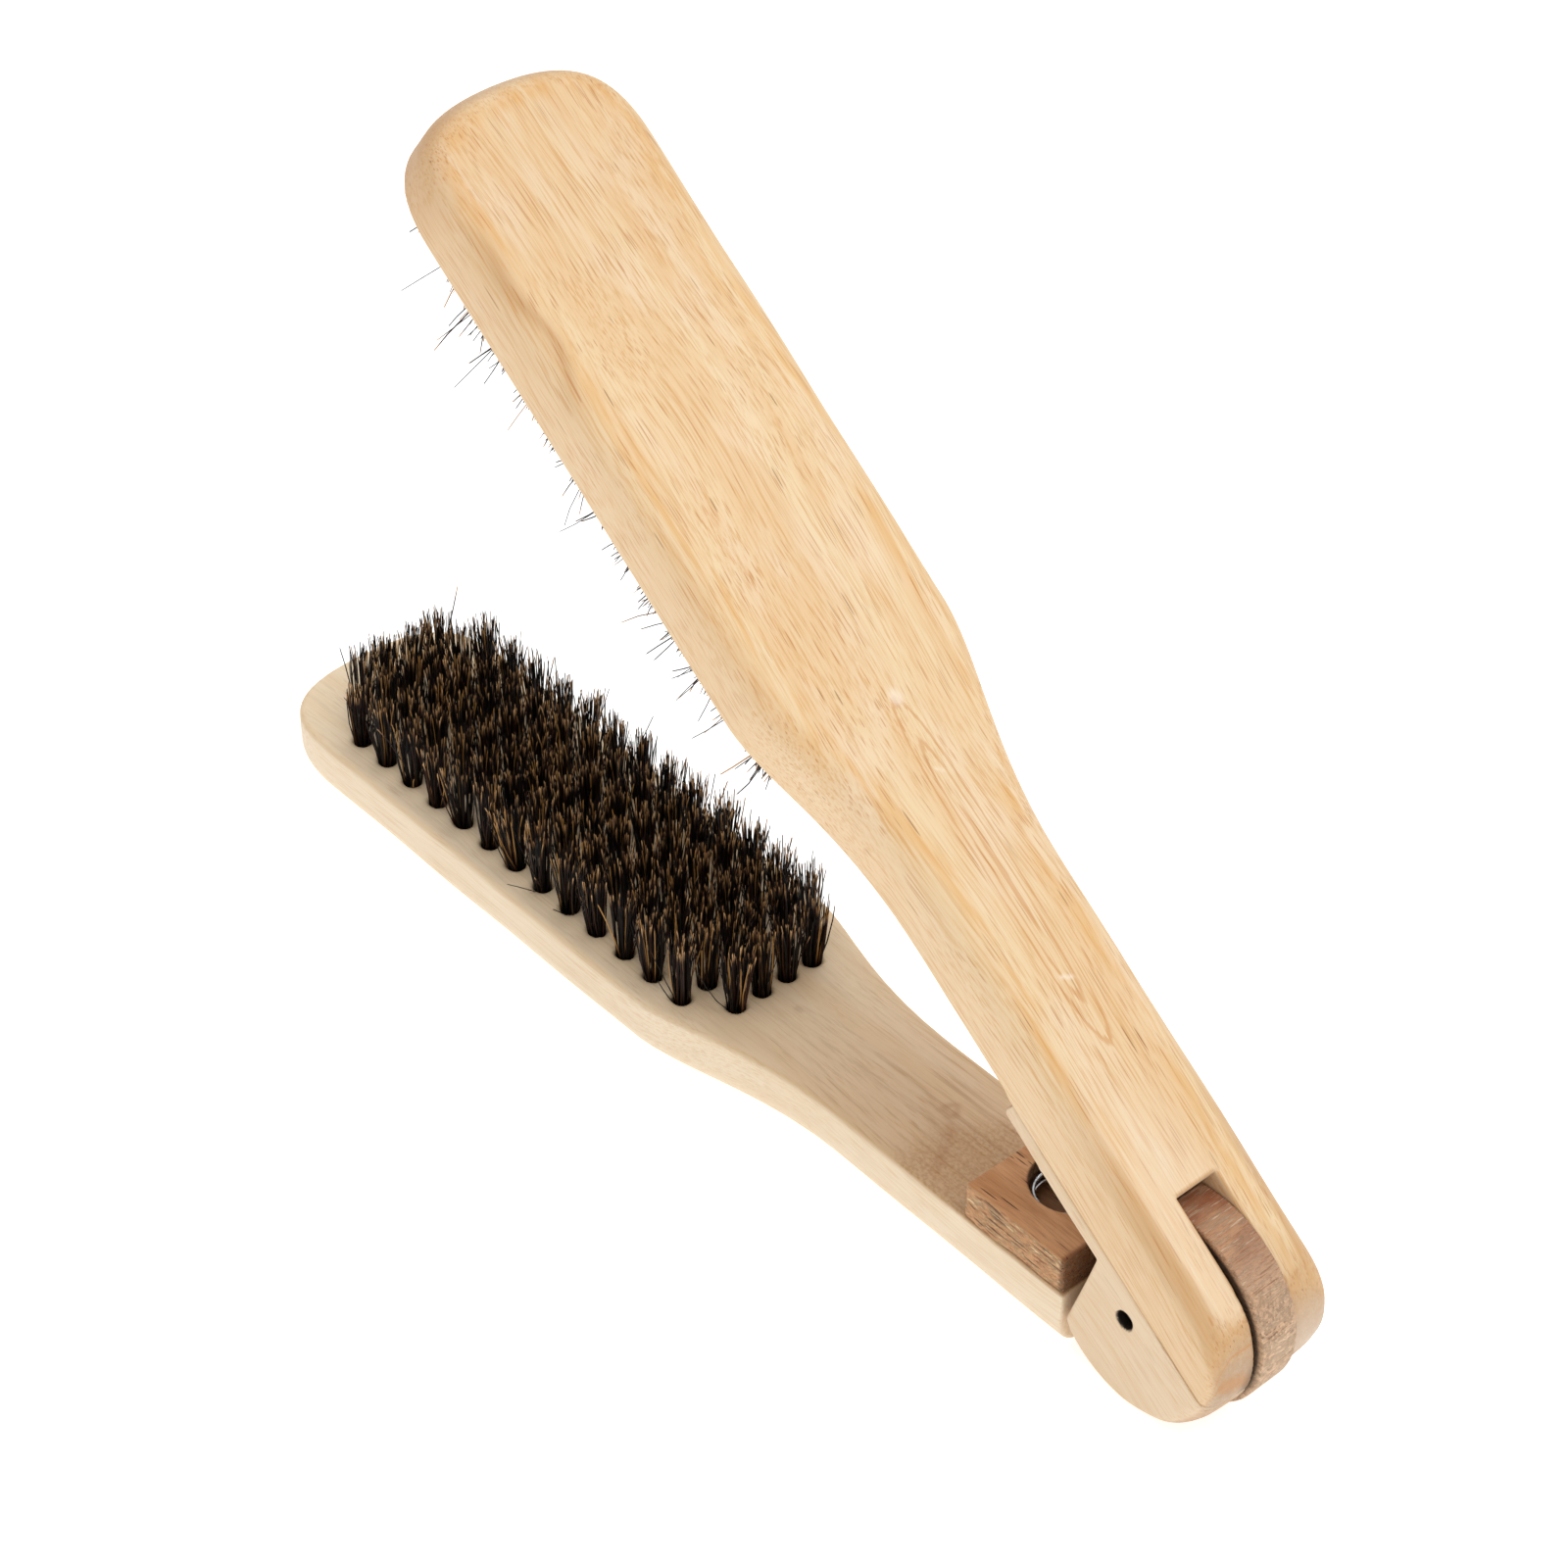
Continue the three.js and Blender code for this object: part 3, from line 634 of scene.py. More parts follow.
def paint_block(piece, half):
    """Stores the same for a block, with painted shade inside the pin hole and, on the lower one, the tongue,
    and painted shade in the spring seat and on the tongue's sides in the slot.
    """
    points, normals = vertex_arrays(piece)
    x, y, z = points.T
    side, inner, end = facing(normals)
    none = np.zeros(len(x))
    pin_hole_shade = smooth(PIN_HOLE_RADIUS + 0.25, PIN_HOLE_RADIUS + 0.05, np.hypot(x, z))
    store_colours(piece, "zones", np.stack([none, side, inner, end], axis=1))
    if half == "upper":
        store_colours(piece, "marks", np.zeros((len(x), 4)))
        store_colours(piece, "details", np.stack([none + 1, none, none, pin_hole_shade], axis=1))
        return
    around = np.arctan2(-z + TONGUE_BELOW_PIN, x - TONGUE_BEHIND_PIN)
    depth = TONGUE_RADIUS - np.hypot(x - TONGUE_BEHIND_PIN, z - TONGUE_BELOW_PIN)
    tongue = (depth < 1.5) * (x > -LOWER_END_AT_BLOCK_TOP)
    flank = smooth(0.5, 0.85, np.abs(normals[:, 1])) * (np.abs(y) < SLOT_HALF_WIDTH + 0.2)
    # The tongue goes from dark at its top to pale below: partly its sawn end grain, partly painted shade
    # where it stands in the slot.
    low = smooth(1.75, -0.2, around)
    seat = smooth(SEAT_RADIUS + 0.3, SEAT_RADIUS + 0.1, np.hypot(x + SPRING_FROM_PIN, y))
    rear = smooth(-LOWER_END_AT_BLOCK_TOP - 1.2, -LOWER_END_AT_BLOCK_TOP - 0.4, x) * (1 - tongue)
    # Painted shade: in the pin hole, in the spring seat, and on the tongue's sides in the gap of the slot.
    dark = np.max([pin_hole_shade, flank * smooth(0.5, 1.3, depth), 0.8 * seat], axis=0)
    store_colours(piece, "marks", np.stack([tongue, low, dark, rear * (x < -9)], axis=1))


def bristle_mesh(roots, tips, bows, radii, shades):
    """Tapered bristles, closed at both ends, and each vertex's place along its bristle."""
    sides = BRISTLE_SIDES
    rings = len(BRISTLE_RINGS)
    count = len(roots)
    axis = tips - roots
    axis = axis / np.linalg.norm(axis, axis=1)[:, None]
    across = np.cross(axis, [1.0, 0, 0])
    across /= np.linalg.norm(across, axis=1)[:, None]
    other = np.cross(axis, across)
    vertices = np.empty((count, rings * sides + 1, 3))
    colours = np.zeros((count, rings * sides + 1, 4))
    turn = rng.uniform(0, 2 * math.pi, count)
    for ring, t in enumerate(BRISTLE_RINGS):
        centre = roots + (tips - roots) * t + bows * t * (1 - t)
        radius = radii * (1 - BRISTLE_TAPER * t)
        for side in range(sides):
            angle = turn + 2 * math.pi * side / sides
            offset = across * np.cos(angle)[:, None] + other * np.sin(angle)[:, None]
            vertices[:, ring * sides + side] = centre + offset * radius[:, None]
            colours[:, ring * sides + side, 0] = t
    vertices[:, -1] = tips
    colours[:, -1, 0] = 1
    colours[:, :, 1] = shades[:, None]
    pattern = [list(range(sides))[::-1]]
    for low in range(0, (rings - 1) * sides, sides):
        for side in range(sides):
            after = (side + 1) % sides
            pattern.append([low + side, low + after, low + sides + after, low + sides + side])
    last = (rings - 1) * sides
    pattern += [[last + side, last + (side + 1) % sides, rings * sides] for side in range(sides)]
    size = rings * sides + 1
    faces = [[size * i + k for k in face] for i in range(count) for face in pattern]
    return vertices.reshape(-1, 3), faces, colours.reshape(-1, 4)


def disc(count, radius):
    """Random places on a disc."""
    r = radius * np.sqrt(rng.uniform(0, 1, count))
    angle = rng.uniform(0, 2 * math.pi, count)
    return np.stack([r * np.cos(angle), r * np.sin(angle)], axis=1)


def tuft_bristles(x, y, outward, lean_in):
    """Roots and tips of one tuft's bristles in the half frame, where they point down from the inner face."""
    count = BRISTLES_PER_TUFT
    root = disc(count, TUFT_ROOT_RADIUS)
    flare = TUFT_FLARE * rng.uniform(0.85, 1.12)
    lean = rng.normal(0, 0.4, 2) - [0, lean_in * outward]
    tip = root * flare + lean + rng.normal(0, 0.6, (count, 2))
    height = TUFT_HEIGHT + rng.normal(-0.6, 0.3) + rng.normal(0, 0.75, count)
    stray = rng.uniform(0, 1, count) < (UPPER_STRAY_SHARE if lean_in and outward else STRAY_SHARE)
    tip[stray] += rng.normal(0, 2.0, (stray.sum(), 2)) + [0, (1.8 + 1.1 * lean_in) * outward]
    height[stray] += rng.uniform(-2.5, 0.6, stray.sum())
    fallen = rng.uniform(0, 1, count) < (FALLEN_SHARE if outward and not lean_in else 0)
    tip[fallen] += rng.normal(0, 1.2, (fallen.sum(), 2)) + [0, 3.6 * outward]
    height[fallen] = rng.uniform(1.5, 5, fallen.sum())
    place = np.array([x, y])
    roots = np.concatenate([place + root, np.full((count, 1), INNER + TUFT_ROOT_DEPTH)], axis=1)
    tips = np.concatenate([place + tip, (INNER - height)[:, None]], axis=1)
    return roots, tips


def bristle_row(half, node, places, material):
    """One cross row of tufts as one piece."""
    found = []
    for x, y in places:
        outward = np.sign(y) if abs(y) == max(abs(p[1]) for p in places) else 0
        found.append(tuft_bristles(x, y, outward, UPPER_TUFT_LEAN if half == "upper" else 0))
    roots = np.concatenate([f[0] for f in found])
    tips = np.concatenate([f[1] for f in found])
    count = len(roots)
    bows = np.concatenate([rng.normal(0, BRISTLE_BOW, (count, 2)), np.zeros((count, 1))], axis=1)
    radii = BRISTLE_RADIUS * rng.uniform(0.7, 1.15, count)
    shades = rng.uniform(0, 1, count)
    vertices, faces, colours = bristle_mesh(roots, tips, bows, radii, shades)
    piece = mesh_piece(node.replace("bristle_row", "tufts"), vertices, faces, HALF[half])
    store_colours(piece, "strand", colours)
    finish_piece(piece, half, material, "boar_bristle", node)
    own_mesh(piece)


def ring_faces(rings, sides):
    """Quads between each ring of vertices and the next."""
    faces = []
    for i in range(rings - 1):
        for k in range(sides):
            j = (k + 1) % sides
            faces.append([i * sides + k, i * sides + j, (i + 1) * sides + j, (i + 1) * sides + k])
    return faces


def tube(centres, tangents, outward, radius, sides):
    """A round tube through the centres, closed at both ends."""
    across = np.cross(tangents, outward)
    across /= np.linalg.norm(across, axis=1)[:, None]
    up = np.cross(across, tangents)
    up /= np.linalg.norm(up, axis=1)[:, None]
    angle = np.linspace(0, 2 * math.pi, sides, endpoint=False)
    ring = np.cos(angle)[None, :, None] * up[:, None] + np.sin(angle)[None, :, None] * across[:, None]
    vertices = (centres[:, None] + radius * ring).reshape(-1, 3)
    faces = ring_faces(len(centres), sides)
    last = (len(centres) - 1) * sides
    faces.append(list(range(sides))[::-1])
    faces.append(list(range(last, last + sides)))
    return vertices, faces


def spring_point(t, radius):
    """A point of the coil, or of its axis for radius 0, relative to the pin in world directions."""
    turn = OPEN_ANGLE * smooth(*SPRING_BEND, t)
    height = SPRING_LOW + (SPRING_HIGH - SPRING_LOW) * t
    angle = 2 * math.pi * SPRING_TURNS * t
    x = -SPRING_FROM_PIN + radius * np.cos(angle)
    y = radius * np.sin(angle)
    return np.stack([x * np.cos(turn) + height * np.sin(turn), y,
                     -x * np.sin(turn) + height * np.cos(turn)], axis=-1)


def spring(material):
    t = np.linspace(0, 1, SPRING_TURNS * SPRING_STEPS_PER_TURN + 1)
    pin = np.array(PIN) / MM
    centres = spring_point(t, SPRING_COIL_RADIUS) + pin
    tangents = np.gradient(centres, axis=0)
    outward = centres - pin - spring_point(t, 0)
    vertices, faces = tube(centres, tangents, outward, SPRING_WIRE_RADIUS, SPRING_WIRE_SIDES)
    piece = mesh_piece("spring_coil", vertices, faces)
    piece.data.materials.append(material)
    ends = (spring_point(np.array(s), 0) * MM + np.array(PIN) for s in SPRING_BEND)
    start, end = (tuple(float(v) for v in point) for point in ends)
    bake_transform(piece)
    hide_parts("compression_spring")


def pin(material):
    """A straight pin along Y with crowned ends."""
    profile = [(0, -PIN_HALF_LENGTH)]
    for a in np.linspace(0, math.pi / 2, 5):
        radius = PIN_RADIUS - PIN_CROWN * (1 - math.sin(a))
        profile.append((radius, -PIN_HALF_LENGTH + PIN_CROWN * (1 - math.cos(a))))
    profile += [(radius, -y) for radius, y in reversed(profile)]
    vertices = []
    for radius, y in profile:
        for k in range(PIN_SIDES):
            a = 2 * math.pi * k / PIN_SIDES
            vertices.append((radius * math.cos(a), y, radius * math.sin(a)))
    faces = ring_faces(len(profile), PIN_SIDES)
    piece = mesh_piece("hinge_pin_steel", vertices, faces, HALF["upper"])
    finish_piece(piece, "upper", material, "pin_steel", "hinge_pin")


# ---------------------------------------------------------------- materials

def colour(code):
    """Linear RGBA from a six-digit sRGB code."""
    channels = [int(code[i:i + 2], 16) / 255 for i in (0, 2, 4)]
    return (*[c / 12.92 if c <= 0.04045 else ((c + 0.055) / 1.055) ** 2.4 for c in channels], 1)


class Nodes:
    """A material's node tree, with a short call for each kind of node that the materials use."""

    def __init__(self, name):
        self.material = bpy.data.materials.new(name)
        self.material.use_nodes = True
        self.tree = self.material.node_tree
        self.shader = self.tree.nodes["Principled BSDF"]

    def put(self, target, source):
        if isinstance(source, bpy.types.NodeSocket):
            self.tree.links.new(source, target)
        else:
            target.default_value = source

    def add(self, kind, inputs=None, **settings):
        node = self.tree.nodes.new(kind)
        for name, setting in settings.items():
            setattr(node, name, setting)
        for name, source in (inputs or {}).items():
            self.put(node.inputs[name], source)
        return node

    def millimetres(self):
        place = self.add("ShaderNodeTexCoord").outputs["Object"]
        return self.stretch(place, (1000, 1000, 1000))

    def stretch(self, vector, factors):
        return self.add("ShaderNodeVectorMath", {0: vector, 1: factors}, operation="MULTIPLY").outputs[0]

    def shift(self, vector, offset):
        return self.add("ShaderNodeVectorMath", {0: vector, 1: offset}, operation="ADD").outputs[0]

    def math(self, operation, a, b=0.0):
        return self.add("ShaderNodeMath", {0: a, 1: b}, operation=operation).outputs[0]

    def noise(self, vector, scale=1.0, detail=2.0, roughness=0.5):
        inputs = {"Vector": vector, "Scale": scale, "Detail": detail, "Roughness": roughness}
        return self.add("ShaderNodeTexNoise", inputs).outputs["Fac"]

    def noise_colour(self, vector):
        inputs = {"Vector": vector, "Scale": 1.0, "Detail": 1.0}
        return self.add("ShaderNodeTexNoise", inputs).outputs["Color"]

    def cells(self, vector):
        node = self.add("ShaderNodeTexVoronoi", {"Vector": vector, "Scale": 1.0})
        return node.outputs["Distance"], node.outputs["Color"]

    def step(self, value, low, high):
        """0 below low and 1 above high, or the other way round where low is above high."""
        inputs = {"Value": value, "From Min": low, "From Max": high}
        return self.add("ShaderNodeMapRange", inputs, interpolation_type="SMOOTHSTEP").outputs[0]

    def mix(self, share, a, b):
        node = self.add("ShaderNodeMix", data_type="RGBA")
        for index, source in ((0, share), (6, a), (7, b)):
            self.put(node.inputs[index], source)
        return node.outputs[2]

    def tint(self, tone, mask, share, code):
        """The tone, mixed with a colour by that share of a mask."""
        return self.mix(self.math("MULTIPLY", mask, share), tone, colour(code))

    def split(self, name):
        """The four channels of a stored colour."""
        stored = self.add("ShaderNodeAttribute", attribute_name=name)
        parts = self.add("ShaderNodeSeparateColor", {0: stored.outputs["Color"]})
        return [*parts.outputs[:3], stored.outputs["Alpha"]]

    def bump(self, height, distance):
        node = self.add("ShaderNodeBump", {"Height": height, "Distance": distance, "Strength": 1.0})
        self.put(self.shader.inputs["Normal"], node.outputs[0])


def grain_direction(g, offset):
    """Object coordinates in millimetres, whose lines along the board wander a little."""
    place = g.shift(g.millimetres(), offset)
    wander = g.noise_colour(g.stretch(place, (0.014, 0.035, 0.035)))
    wander = g.stretch(g.shift(wander, (-0.5, -0.5, -0.5)), (0, 9, 9))
    return place, g.add("ShaderNodeVectorMath", {0: place, 1: wander}, operation="ADD").outputs[0]


def dashes(g, grain, length, width, size, share):
    """Short dark pores along the grain: 1 on a pore, in about that share of the cells."""
    distance, random = g.cells(g.stretch(grain, (1 / length, 1 / width, 1 / width)))
    chosen = g.step(g.add("ShaderNodeSeparateColor", {0: random}).outputs[0], 1 - share, 1.02 - share)
    return g.math("MULTIPLY", g.step(distance, size, 0.6 * size), chosen)


def pale_tone(g, place, grain, look):
    """Close-grained pale wood: golden and pinkish clouds under fine fibres along the grain."""
    fine = g.noise(g.stretch(grain, (0.07, 2.9, 2.9)), detail=4, roughness=0.65)
    broad = g.noise(g.stretch(grain, (0.012, 0.22, 0.22)), detail=2)
    cloudy = g.noise(g.stretch(place, (0.05, 0.16, 0.16)), detail=2)
    tone = g.mix(g.step(broad, 0.32, 0.68), colour(look["light"]), colour(look["golden"]))
    tone = g.tint(tone, g.step(cloudy, 0.46, 0.72), 0.6, look["cloud"])
    tone = g.tint(tone, g.step(fine, 0.44, 0.74), look["fibre_share"], look["fibre"])
    return tone, fine


def pale_pores(g, grain, side, tone, share):
    """Lays three sizes of short pores along the grain over the tone, the larger two fainter on the sides."""
    kept = g.step(side, 3.0, 0.0)
    crowd = g.step(g.noise(g.stretch(grain, (0.02, 0.3, 0.3))), 0.3, 0.6)
    small = g.math("MULTIPLY", dashes(g, grain, 9, 0.3, 0.34, 0.95), crowd)
    middle = g.math("MULTIPLY", dashes(g, g.shift(grain, (3.1, 5.7, 1.3)), 13, 0.34, 0.32, 0.45), kept)
    large = g.math("MULTIPLY", dashes(g, g.shift(grain, (13.1, 2.7, 8.3)), 11, 0.5, 0.28, 0.05), kept)
    tone = g.tint(tone, small, 0.55 * share, "cb8a40")
    tone = g.tint(tone, middle, 0.58 * share, "b97436")
    tone = g.tint(tone, large, 0.7 * share, "8a5526")
    return tone, g.math("ADD", middle, large)


def loop_figure(g, tone, figure, fine):
    """Nested rings of darker grain about the middle of the handle."""
    ripple = g.math("MULTIPLY", g.math("SUBTRACT", fine, 0.5), 0.25)
    rings = g.math("ADD", g.math("MULTIPLY", figure, 2.0), ripple)
    wave = g.step(g.math("SINE", g.math("MULTIPLY", rings, 15.0)), 0.5, 0.95)
    return g.tint(tone, g.math("MULTIPLY", wave, g.step(rings, 1.25, 1.0)), 0.5, "c98a48")


def pale_wood(name, offset, look):
    """Pale wood with a golden crease, its own sides, worn end grain and the marks that its piece stores."""
    g = Nodes(name)
    crease, side, inner, end = g.split("zones")
    pale, knot, sanded, shade = g.split("marks")
    figure, roundover_edge_shade, rim, hole = g.split("details")
    place, grain = grain_direction(g, offset)
    tone, fine = pale_tone(g, place, grain, look)
    patchy = g.step(g.noise(g.stretch(grain, (0.05, 0.5, 0.5)), detail=3), 0.42, 0.62)
    tone = g.tint(tone, g.math("MULTIPLY", crease, patchy), 0.48, "dca354")
    tone = g.tint(tone, side, 0.7, look["side"])
    side_fibre = g.math("MULTIPLY", side, g.step(fine, 0.44, 0.74))
    tone = g.tint(tone, side_fibre, 0.42, look["fibre"])
    tone = g.tint(tone, inner, 0.5, look["inner"])
    tone = g.tint(tone, shade, look["shade_share"], look["shade"])
    streak = g.noise(g.stretch(grain, (0.03, 1.3, 1.3)), detail=4, roughness=0.65)
    where = g.math("MAXIMUM", g.math("MULTIPLY", inner, 0.25), shade)
    streaks = g.math("MULTIPLY", where, g.step(streak, 0.46, 0.72))
    tone = g.tint(tone, streaks, look["streak_share"], "a07a52")
    rough_end = g.noise(g.stretch(place, (0.9, 0.7, 0.7)), detail=6, roughness=0.75)
    worn = g.math("MULTIPLY", end, g.step(rough_end, 0.3, 0.7))
    tone = g.tint(tone, end, 0.58, look["end"])
    tone = g.tint(tone, worn, 0.45, "a67c58")
    # Painted shade along the near roundover and on it at the tip.
    tone = g.tint(tone, roundover_edge_shade, 0.45, "b07a40")
    tone = g.tint(tone, rim, 0.35, "c9a670")
    speck = g.noise(g.stretch(place, (1.4, 2.0, 2.0)), detail=3, roughness=0.6)
    tone = g.tint(tone, sanded, 0.27, "ad8253")
    tone = g.tint(tone, g.math("MULTIPLY", sanded, g.step(speck, 0.35, 0.68)), 0.4, "96683c")
    tone = g.tint(tone, knot, 0.5, "9c6642")
    tone, pores = pale_pores(g, grain, side, tone, look["pore_share"])
    tone = loop_figure(g, tone, figure, fine)
    # Pale knots and scratches, with painted light on the flat top by the hinge and a paler end face on the
    # far lobe.
    tone = g.tint(tone, pale, 0.7, "f4e2cb")
    # Painted shade: near black inside the pin hole, and darker on the end face beside the slot.
    tone = g.mix(hole, tone, colour("1c130c"))
    g.put(g.shader.inputs["Base Color"], tone)
    roughness = g.add("ShaderNodeMapRange", {"Value": fine, "To Min": 0.48, "To Max": 0.68})
    g.put(g.shader.inputs["Roughness"], roughness.outputs[0])
    g.shader.inputs["Specular IOR Level"].default_value = 0.3
    height = g.math("SUBTRACT", g.math("MULTIPLY", fine, 0.6), g.math("MULTIPLY", pores, 0.4))
    height = g.math("ADD", height, g.math("MULTIPLY", sanded, speck))
    g.bump(g.math("ADD", height, g.math("MULTIPLY", worn, 1.2)), 0.00006)
    return g.material


def brown_wood(name):
    """Reddish brown hardwood: long black pores on the sawn top, paler fuzzy sides and a scratched tongue."""
    g = Nodes(name)
    _, side, _, _ = g.split("zones")
    tongue, low, dark, rear = g.split("marks")
    place, grain = grain_direction(g, (11.0, 4.0, 2.0))
    fine = g.noise(g.stretch(grain, (0.15, 2.8, 2.8)), detail=5, roughness=0.7)
    broad = g.noise(g.stretch(grain, (0.06, 0.4, 0.4)), detail=3)
    tone = g.mix(g.step(broad, 0.3, 0.7), colour("d8a67b"), colour("c08b5f"))
    tone = g.tint(tone, g.step(fine, 0.38, 0.75), 0.5, "8c5732")
    fuzz = g.noise(g.stretch(grain, (0.28, 1.3, 1.3)), detail=8, roughness=0.72)
    tone = g.tint(tone, side, 0.5, "cd9d6e")
    sawn = g.math("MULTIPLY", side, g.step(fuzz, 0.5, 0.6))
    tone = g.tint(tone, sawn, 0.8, "edcb9d")
    pitted = g.math("MULTIPLY", side, g.step(fuzz, 0.48, 0.38))
    tone = g.tint(tone, pitted, 0.85, "703f20")
    tone = g.tint(tone, rear, 0.7, "6b4124")
    # Dark at the tongue's top, pale below: partly sawn end grain, partly painted shade in the slot.
    tone = g.mix(g.math("MULTIPLY", tongue, 0.92), tone, g.mix(low, colour("864a2a"), colour("f2cfac")))
    scratch = g.noise(g.stretch(place, (2.8, 0.16, 2.8)), detail=6, roughness=0.75)
    worn = g.step(g.noise(g.stretch(place, (0.22, 0.1, 0.22)), detail=3), 0.4, 0.65)
    tone = g.tint(tone, g.math("MULTIPLY", tongue, worn), 0.42, "dcae84")
    rubbed = g.math("MULTIPLY", tongue, g.step(scratch, 0.5, 0.62))
    tone = g.tint(tone, rubbed, 0.6, "efcfae")
    tone = g.tint(tone, g.math("MULTIPLY", tongue, g.step(scratch, 0.48, 0.38)), 0.6, "6f3d20")
    lengthwise = g.math("SUBTRACT", 1.0, tongue)
    long = dashes(g, grain, 15, 0.75, 0.24, 0.9)
    short = dashes(g, g.shift(grain, (5.2, 9.1, 3.7)), 10, 0.6, 0.26, 0.5)
    pores = g.math("MULTIPLY", g.math("MAXIMUM", long, short), lengthwise)
    tone = g.tint(tone, pores, 0.8, "3b1d0f")
    # Painted shade in the pin hole, the spring seat and on the tongue's sides in the slot.
    tone = g.tint(tone, dark, 0.85, "24130a")
    g.put(g.shader.inputs["Base Color"], tone)
    g.shader.inputs["Roughness"].default_value = 0.68
    g.shader.inputs["Specular IOR Level"].default_value = 0.3
    height = g.math("SUBTRACT", g.math("ADD", fine, g.math("MULTIPLY", sawn, 1.6)), pores)
    g.bump(g.math("ADD", height, rubbed), 0.0001)
    return g.material


def bristle_material():
    """Natural boar bristle: near black at the root, brown above, and tan where the tip is split."""
    g = Nodes("boar_bristle_hair")
    along, shade, _, _ = g.split("strand")
    dark = g.mix(g.step(shade, 0.5, 1.0), colour("0d0705"), colour("3e2010"))
    tip = g.mix(g.step(shade, 0.45, 0.9), colour("623a20"), colour("ecbd88"))
    rise = g.math("MULTIPLY", g.step(along, 0.8, 1.0), g.step(shade, 0.3, 0.7))
    tone = g.mix(rise, dark, tip)
    fair = g.math("MULTIPLY", g.step(shade, 0.91, 0.95), g.step(along, 0.05, 0.5))
    g.put(g.shader.inputs["Base Color"], g.mix(fair, tone, colour("b88a50")))
    g.shader.inputs["Roughness"].default_value = 0.5
    g.shader.inputs["Specular IOR Level"].default_value = 0.2
    return g.material


def steel(name, tone, low, high):
    g = Nodes(name)
    # The steel's own smudges, in its tone and roughness.
    smudge_and_shade = g.noise(g.millimetres(), scale=0.9, detail=4)
    g.put(g.shader.inputs["Base Color"], g.mix(g.step(smudge_and_shade, 0.3, 0.8), colour(tone), colour("8d8a86")))
    g.shader.inputs["Metallic"].default_value = 1.0
    roughness = g.add("ShaderNodeMapRange", {"Value": smudge_and_shade, "To Min": low, "To Max": high})
    g.put(g.shader.inputs["Roughness"], roughness.outputs[0])
    g.bump(smudge_and_shade, 0.00003)
    return g.material


def floor_material():
    g = Nodes("studio_floor")
    haze = g.noise(g.millimetres(), scale=0.01, detail=1)
    g.put(g.shader.inputs["Base Color"], g.mix(haze, colour("e9e9e9"), colour("e5e5e4")))
    g.shader.inputs["Roughness"].default_value = 0.8
    g.shader.inputs["Emission Color"].default_value = (1, 1, 1, 1)
    g.shader.inputs["Emission Strength"].default_value = FLOOR_GLOW
    return g.material


# ---------------------------------------------------------------- stage

def make_camera():
    """Placed by its direction from the pin, and by how far right of and above the pin it aims."""
    az, el, roll = CAMERA_AZIMUTH, CAMERA_ELEVATION, CAMERA_ROLL
    back = Vector((math.sin(az) * math.cos(el), -math.cos(az) * math.cos(el), math.sin(el)))
    level = Vector((math.cos(az), math.sin(az), 0))
    upright = back.cross(level)
    right = math.cos(roll) * level + math.sin(roll) * upright
    up = math.cos(roll) * upright - math.sin(roll) * level
    data = bpy.data.cameras.new("camera")
    data.lens = CAMERA_LENS
    data.sensor_width = SENSOR_WIDTH
    data.clip_start, data.clip_end = CAMERA_CLIP
    camera = bpy.data.objects.new("camera", data)
    place = PIN + CAMERA_DISTANCE * back + CAMERA_RIGHT * right + CAMERA_UP * up
    turn = Matrix((right, up, back)).transposed().to_4x4()
    camera.matrix_world = Matrix.Translation(place) @ turn
    bpy.context.scene.collection.objects.link(camera)
    bpy.context.scene.camera = camera


def area_light(name, place, aim, size, power):
    data = bpy.data.lights.new(name, "AREA")
    data.shape = "DISK"
    data.size = size
    data.energy = power
    light = bpy.data.objects.new(name, data)
    light.location = place
    light.rotation_euler = (Vector(aim) - Vector(place)).to_track_quat("-Z", "Y").to_euler()
    bpy.context.scene.collection.objects.link(light)


def make_stage():
    scene = bpy.context.scene
    scene.view_settings.view_transform = "Standard"
    world = bpy.data.worlds.new("studio")
    world.use_nodes = True
    background = world.node_tree.nodes["Background"]
    background.inputs["Color"].default_value = (1, 1, 1, 1)
    background.inputs["Strength"].default_value = SKY_STRENGTH
    scene.world = world
    size = FLOOR_HALF_SIZE
    corners = [(-size, -size, 0), (size, -size, 0), (size, size, 0), (-size, size, 0)]
    floor = mesh_piece("floor", corners, [[0, 1, 2, 3]], Matrix.Translation((0, 0, -FLOOR_BELOW)))
    floor.data.materials.append(floor_material())
    area_light("key_light", (0.45, 0.0, 1.2), LIGHT_AIM, size=0.8, power=4.2)
    area_light("top_light", (-0.3, 0.45, 1.2), LIGHT_AIM, size=0.9, power=3.0)


# ---------------------------------------------------------------- the brush

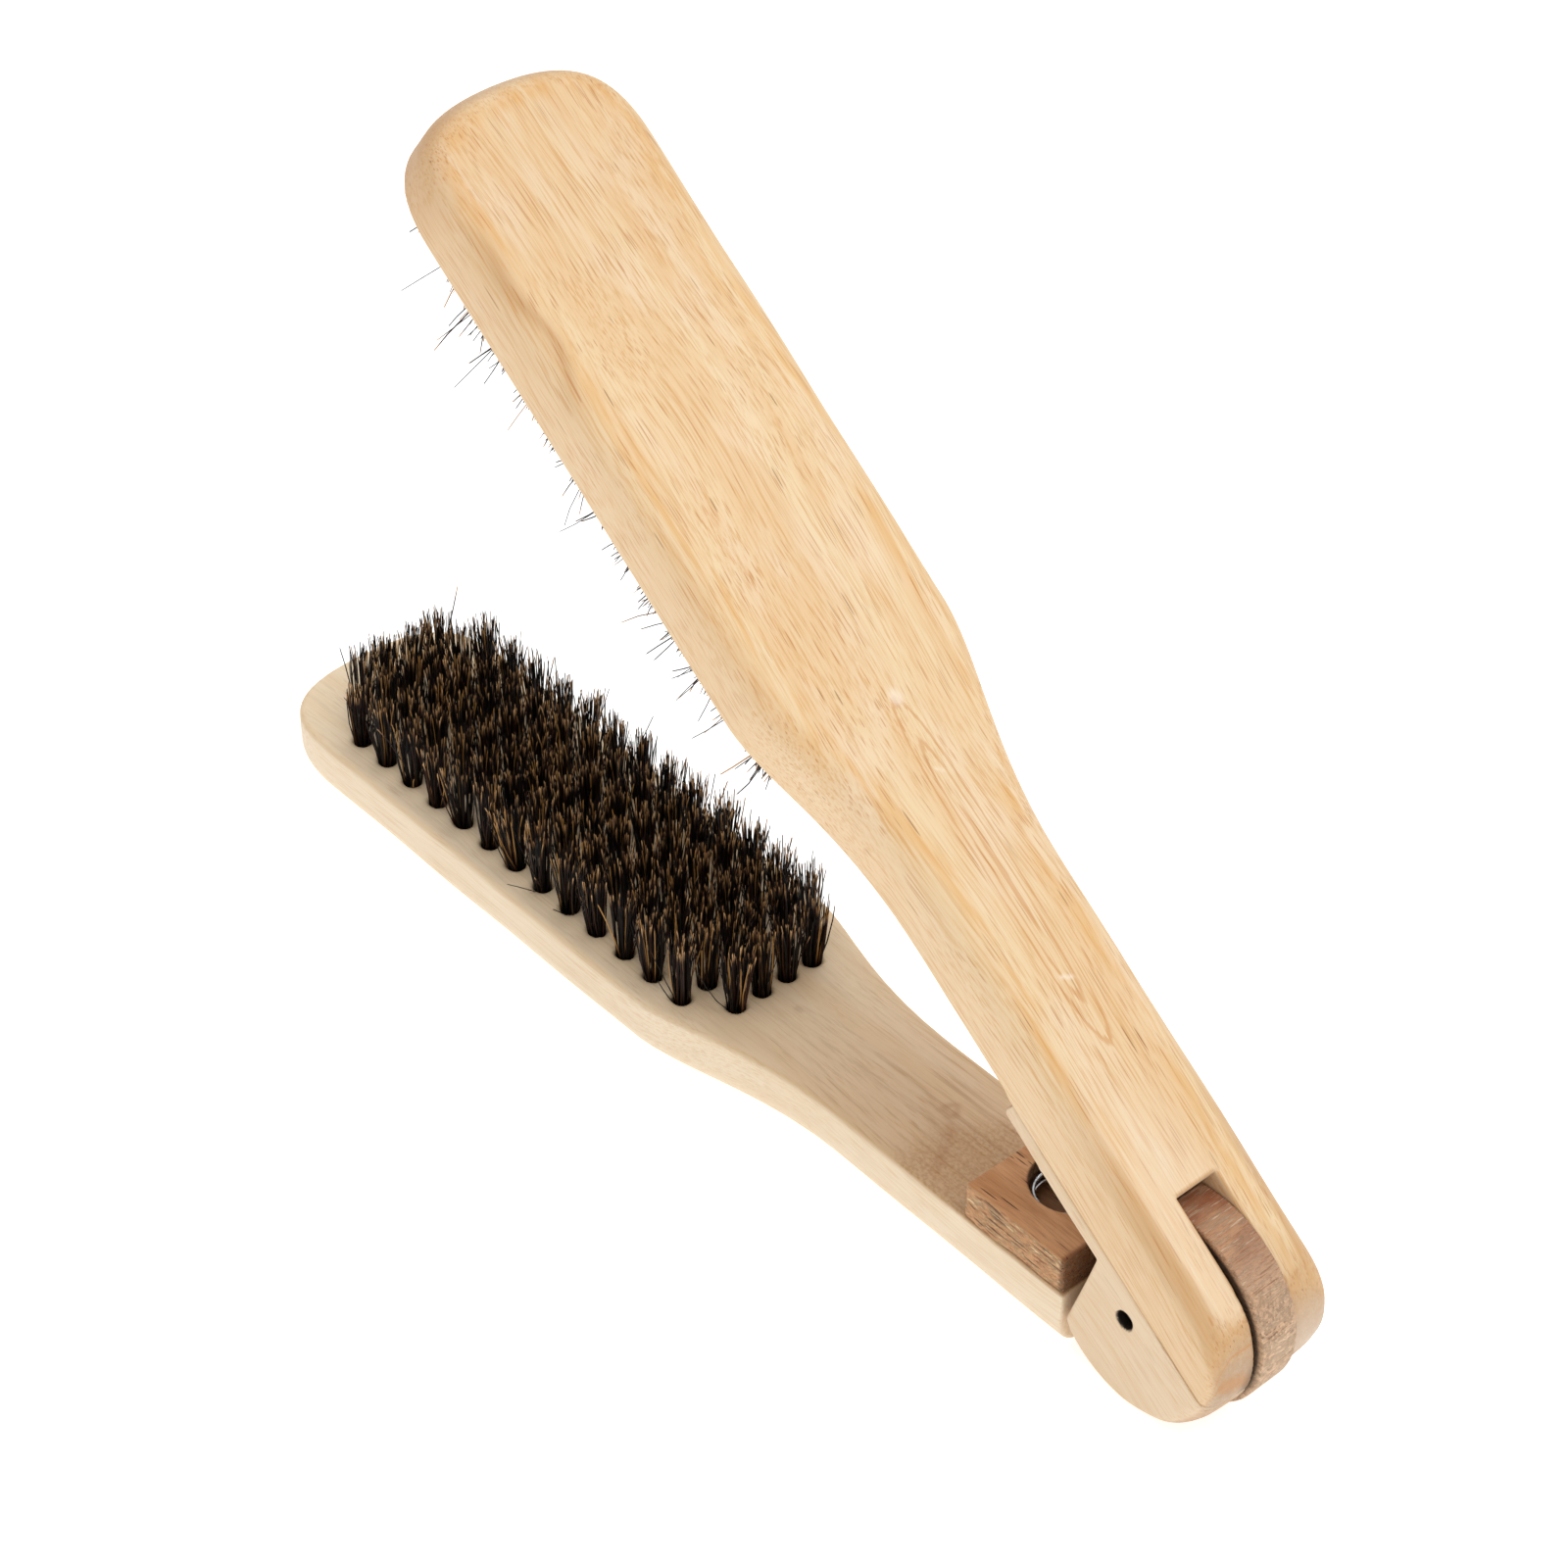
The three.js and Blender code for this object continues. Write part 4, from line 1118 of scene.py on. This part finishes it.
# Colours of each pale wood, and how strongly its fibres and pores show.
UPPER_LOOK = {
    "light": "ead0a8", "golden": "e5c295", "cloud": "edd7b8", "fibre": "d09e60", "side": "e6cba6",
    "inner": "e2c5a6", "end": "b1a294", "shade": "c0915e",
    "fibre_share": 0.75, "pore_share": 0.9, "streak_share": 0.2, "shade_share": 0.58,
}
LOWER_LOOK = {
    "light": "f0dfc4", "golden": "e8cfab", "cloud": "f1e2ca", "fibre": "d4ae82", "side": "e7d5bb",
    "inner": "f5dcb9", "end": "e2cba8", "shade": "a87e54",
    "fibre_share": 0.5, "pore_share": 0.3, "streak_share": 0.55, "shade_share": 0.47,
}
CHEEK_LOOK = {
    "light": "f0dfc4", "golden": "e8cfab", "cloud": "f1e2ca", "fibre": "d6b085", "side": "d7be9e",
    "inner": "e2c5a6", "end": "c4a07e", "shade": "b99372",
    "fibre_share": 0.65, "pore_share": 0.5, "streak_share": 0.2, "shade_share": 0.45,
}


def make_wood():
    upper = pale_wood("upper_pale_wood", (0.0, 0.0, 0.0), UPPER_LOOK)
    lower = pale_wood("lower_pale_wood", (310.0, 47.0, 13.0), LOWER_LOOK)
    cheeks = pale_wood("cheek_pale_wood", (520.0, 91.0, 5.0), CHEEK_LOOK)
    brown = brown_wood("brown_hardwood")
    pieces = (
        ("upper_board", upper_board, paint_board, upper, "pale_wood", "upper_paddle"),
        ("lower_board", lower_board, paint_board, lower, "pale_wood", "lower_paddle"),
        ("upper_block", upper_block, paint_block, cheeks, "pale_wood", "upper_hinge_block"),
        ("lower_block", lower_block, paint_block, brown, "brown_wood", "lower_hinge_block"),
    )
    for name, build, paint, material, slot_name, node in pieces:
        half = name.split("_")[0]
        vertices, faces = build()
        piece = mesh_piece(name, vertices, faces.tolist(), HALF[half])
        paint(piece, half)
        finish_piece(piece, half, material, slot_name, node)


make_camera()
make_stage()
make_wood()
hair = bristle_material()
for half in HALF:
    for node, places in tuft_places(half):
        bristle_row(half, node, places, hair)
spring(steel("bright_spring_wire", "e6e7ea", 0.12, 0.26))
pin(steel("dull_pin_steel", "6d6a67", 0.35, 0.55))
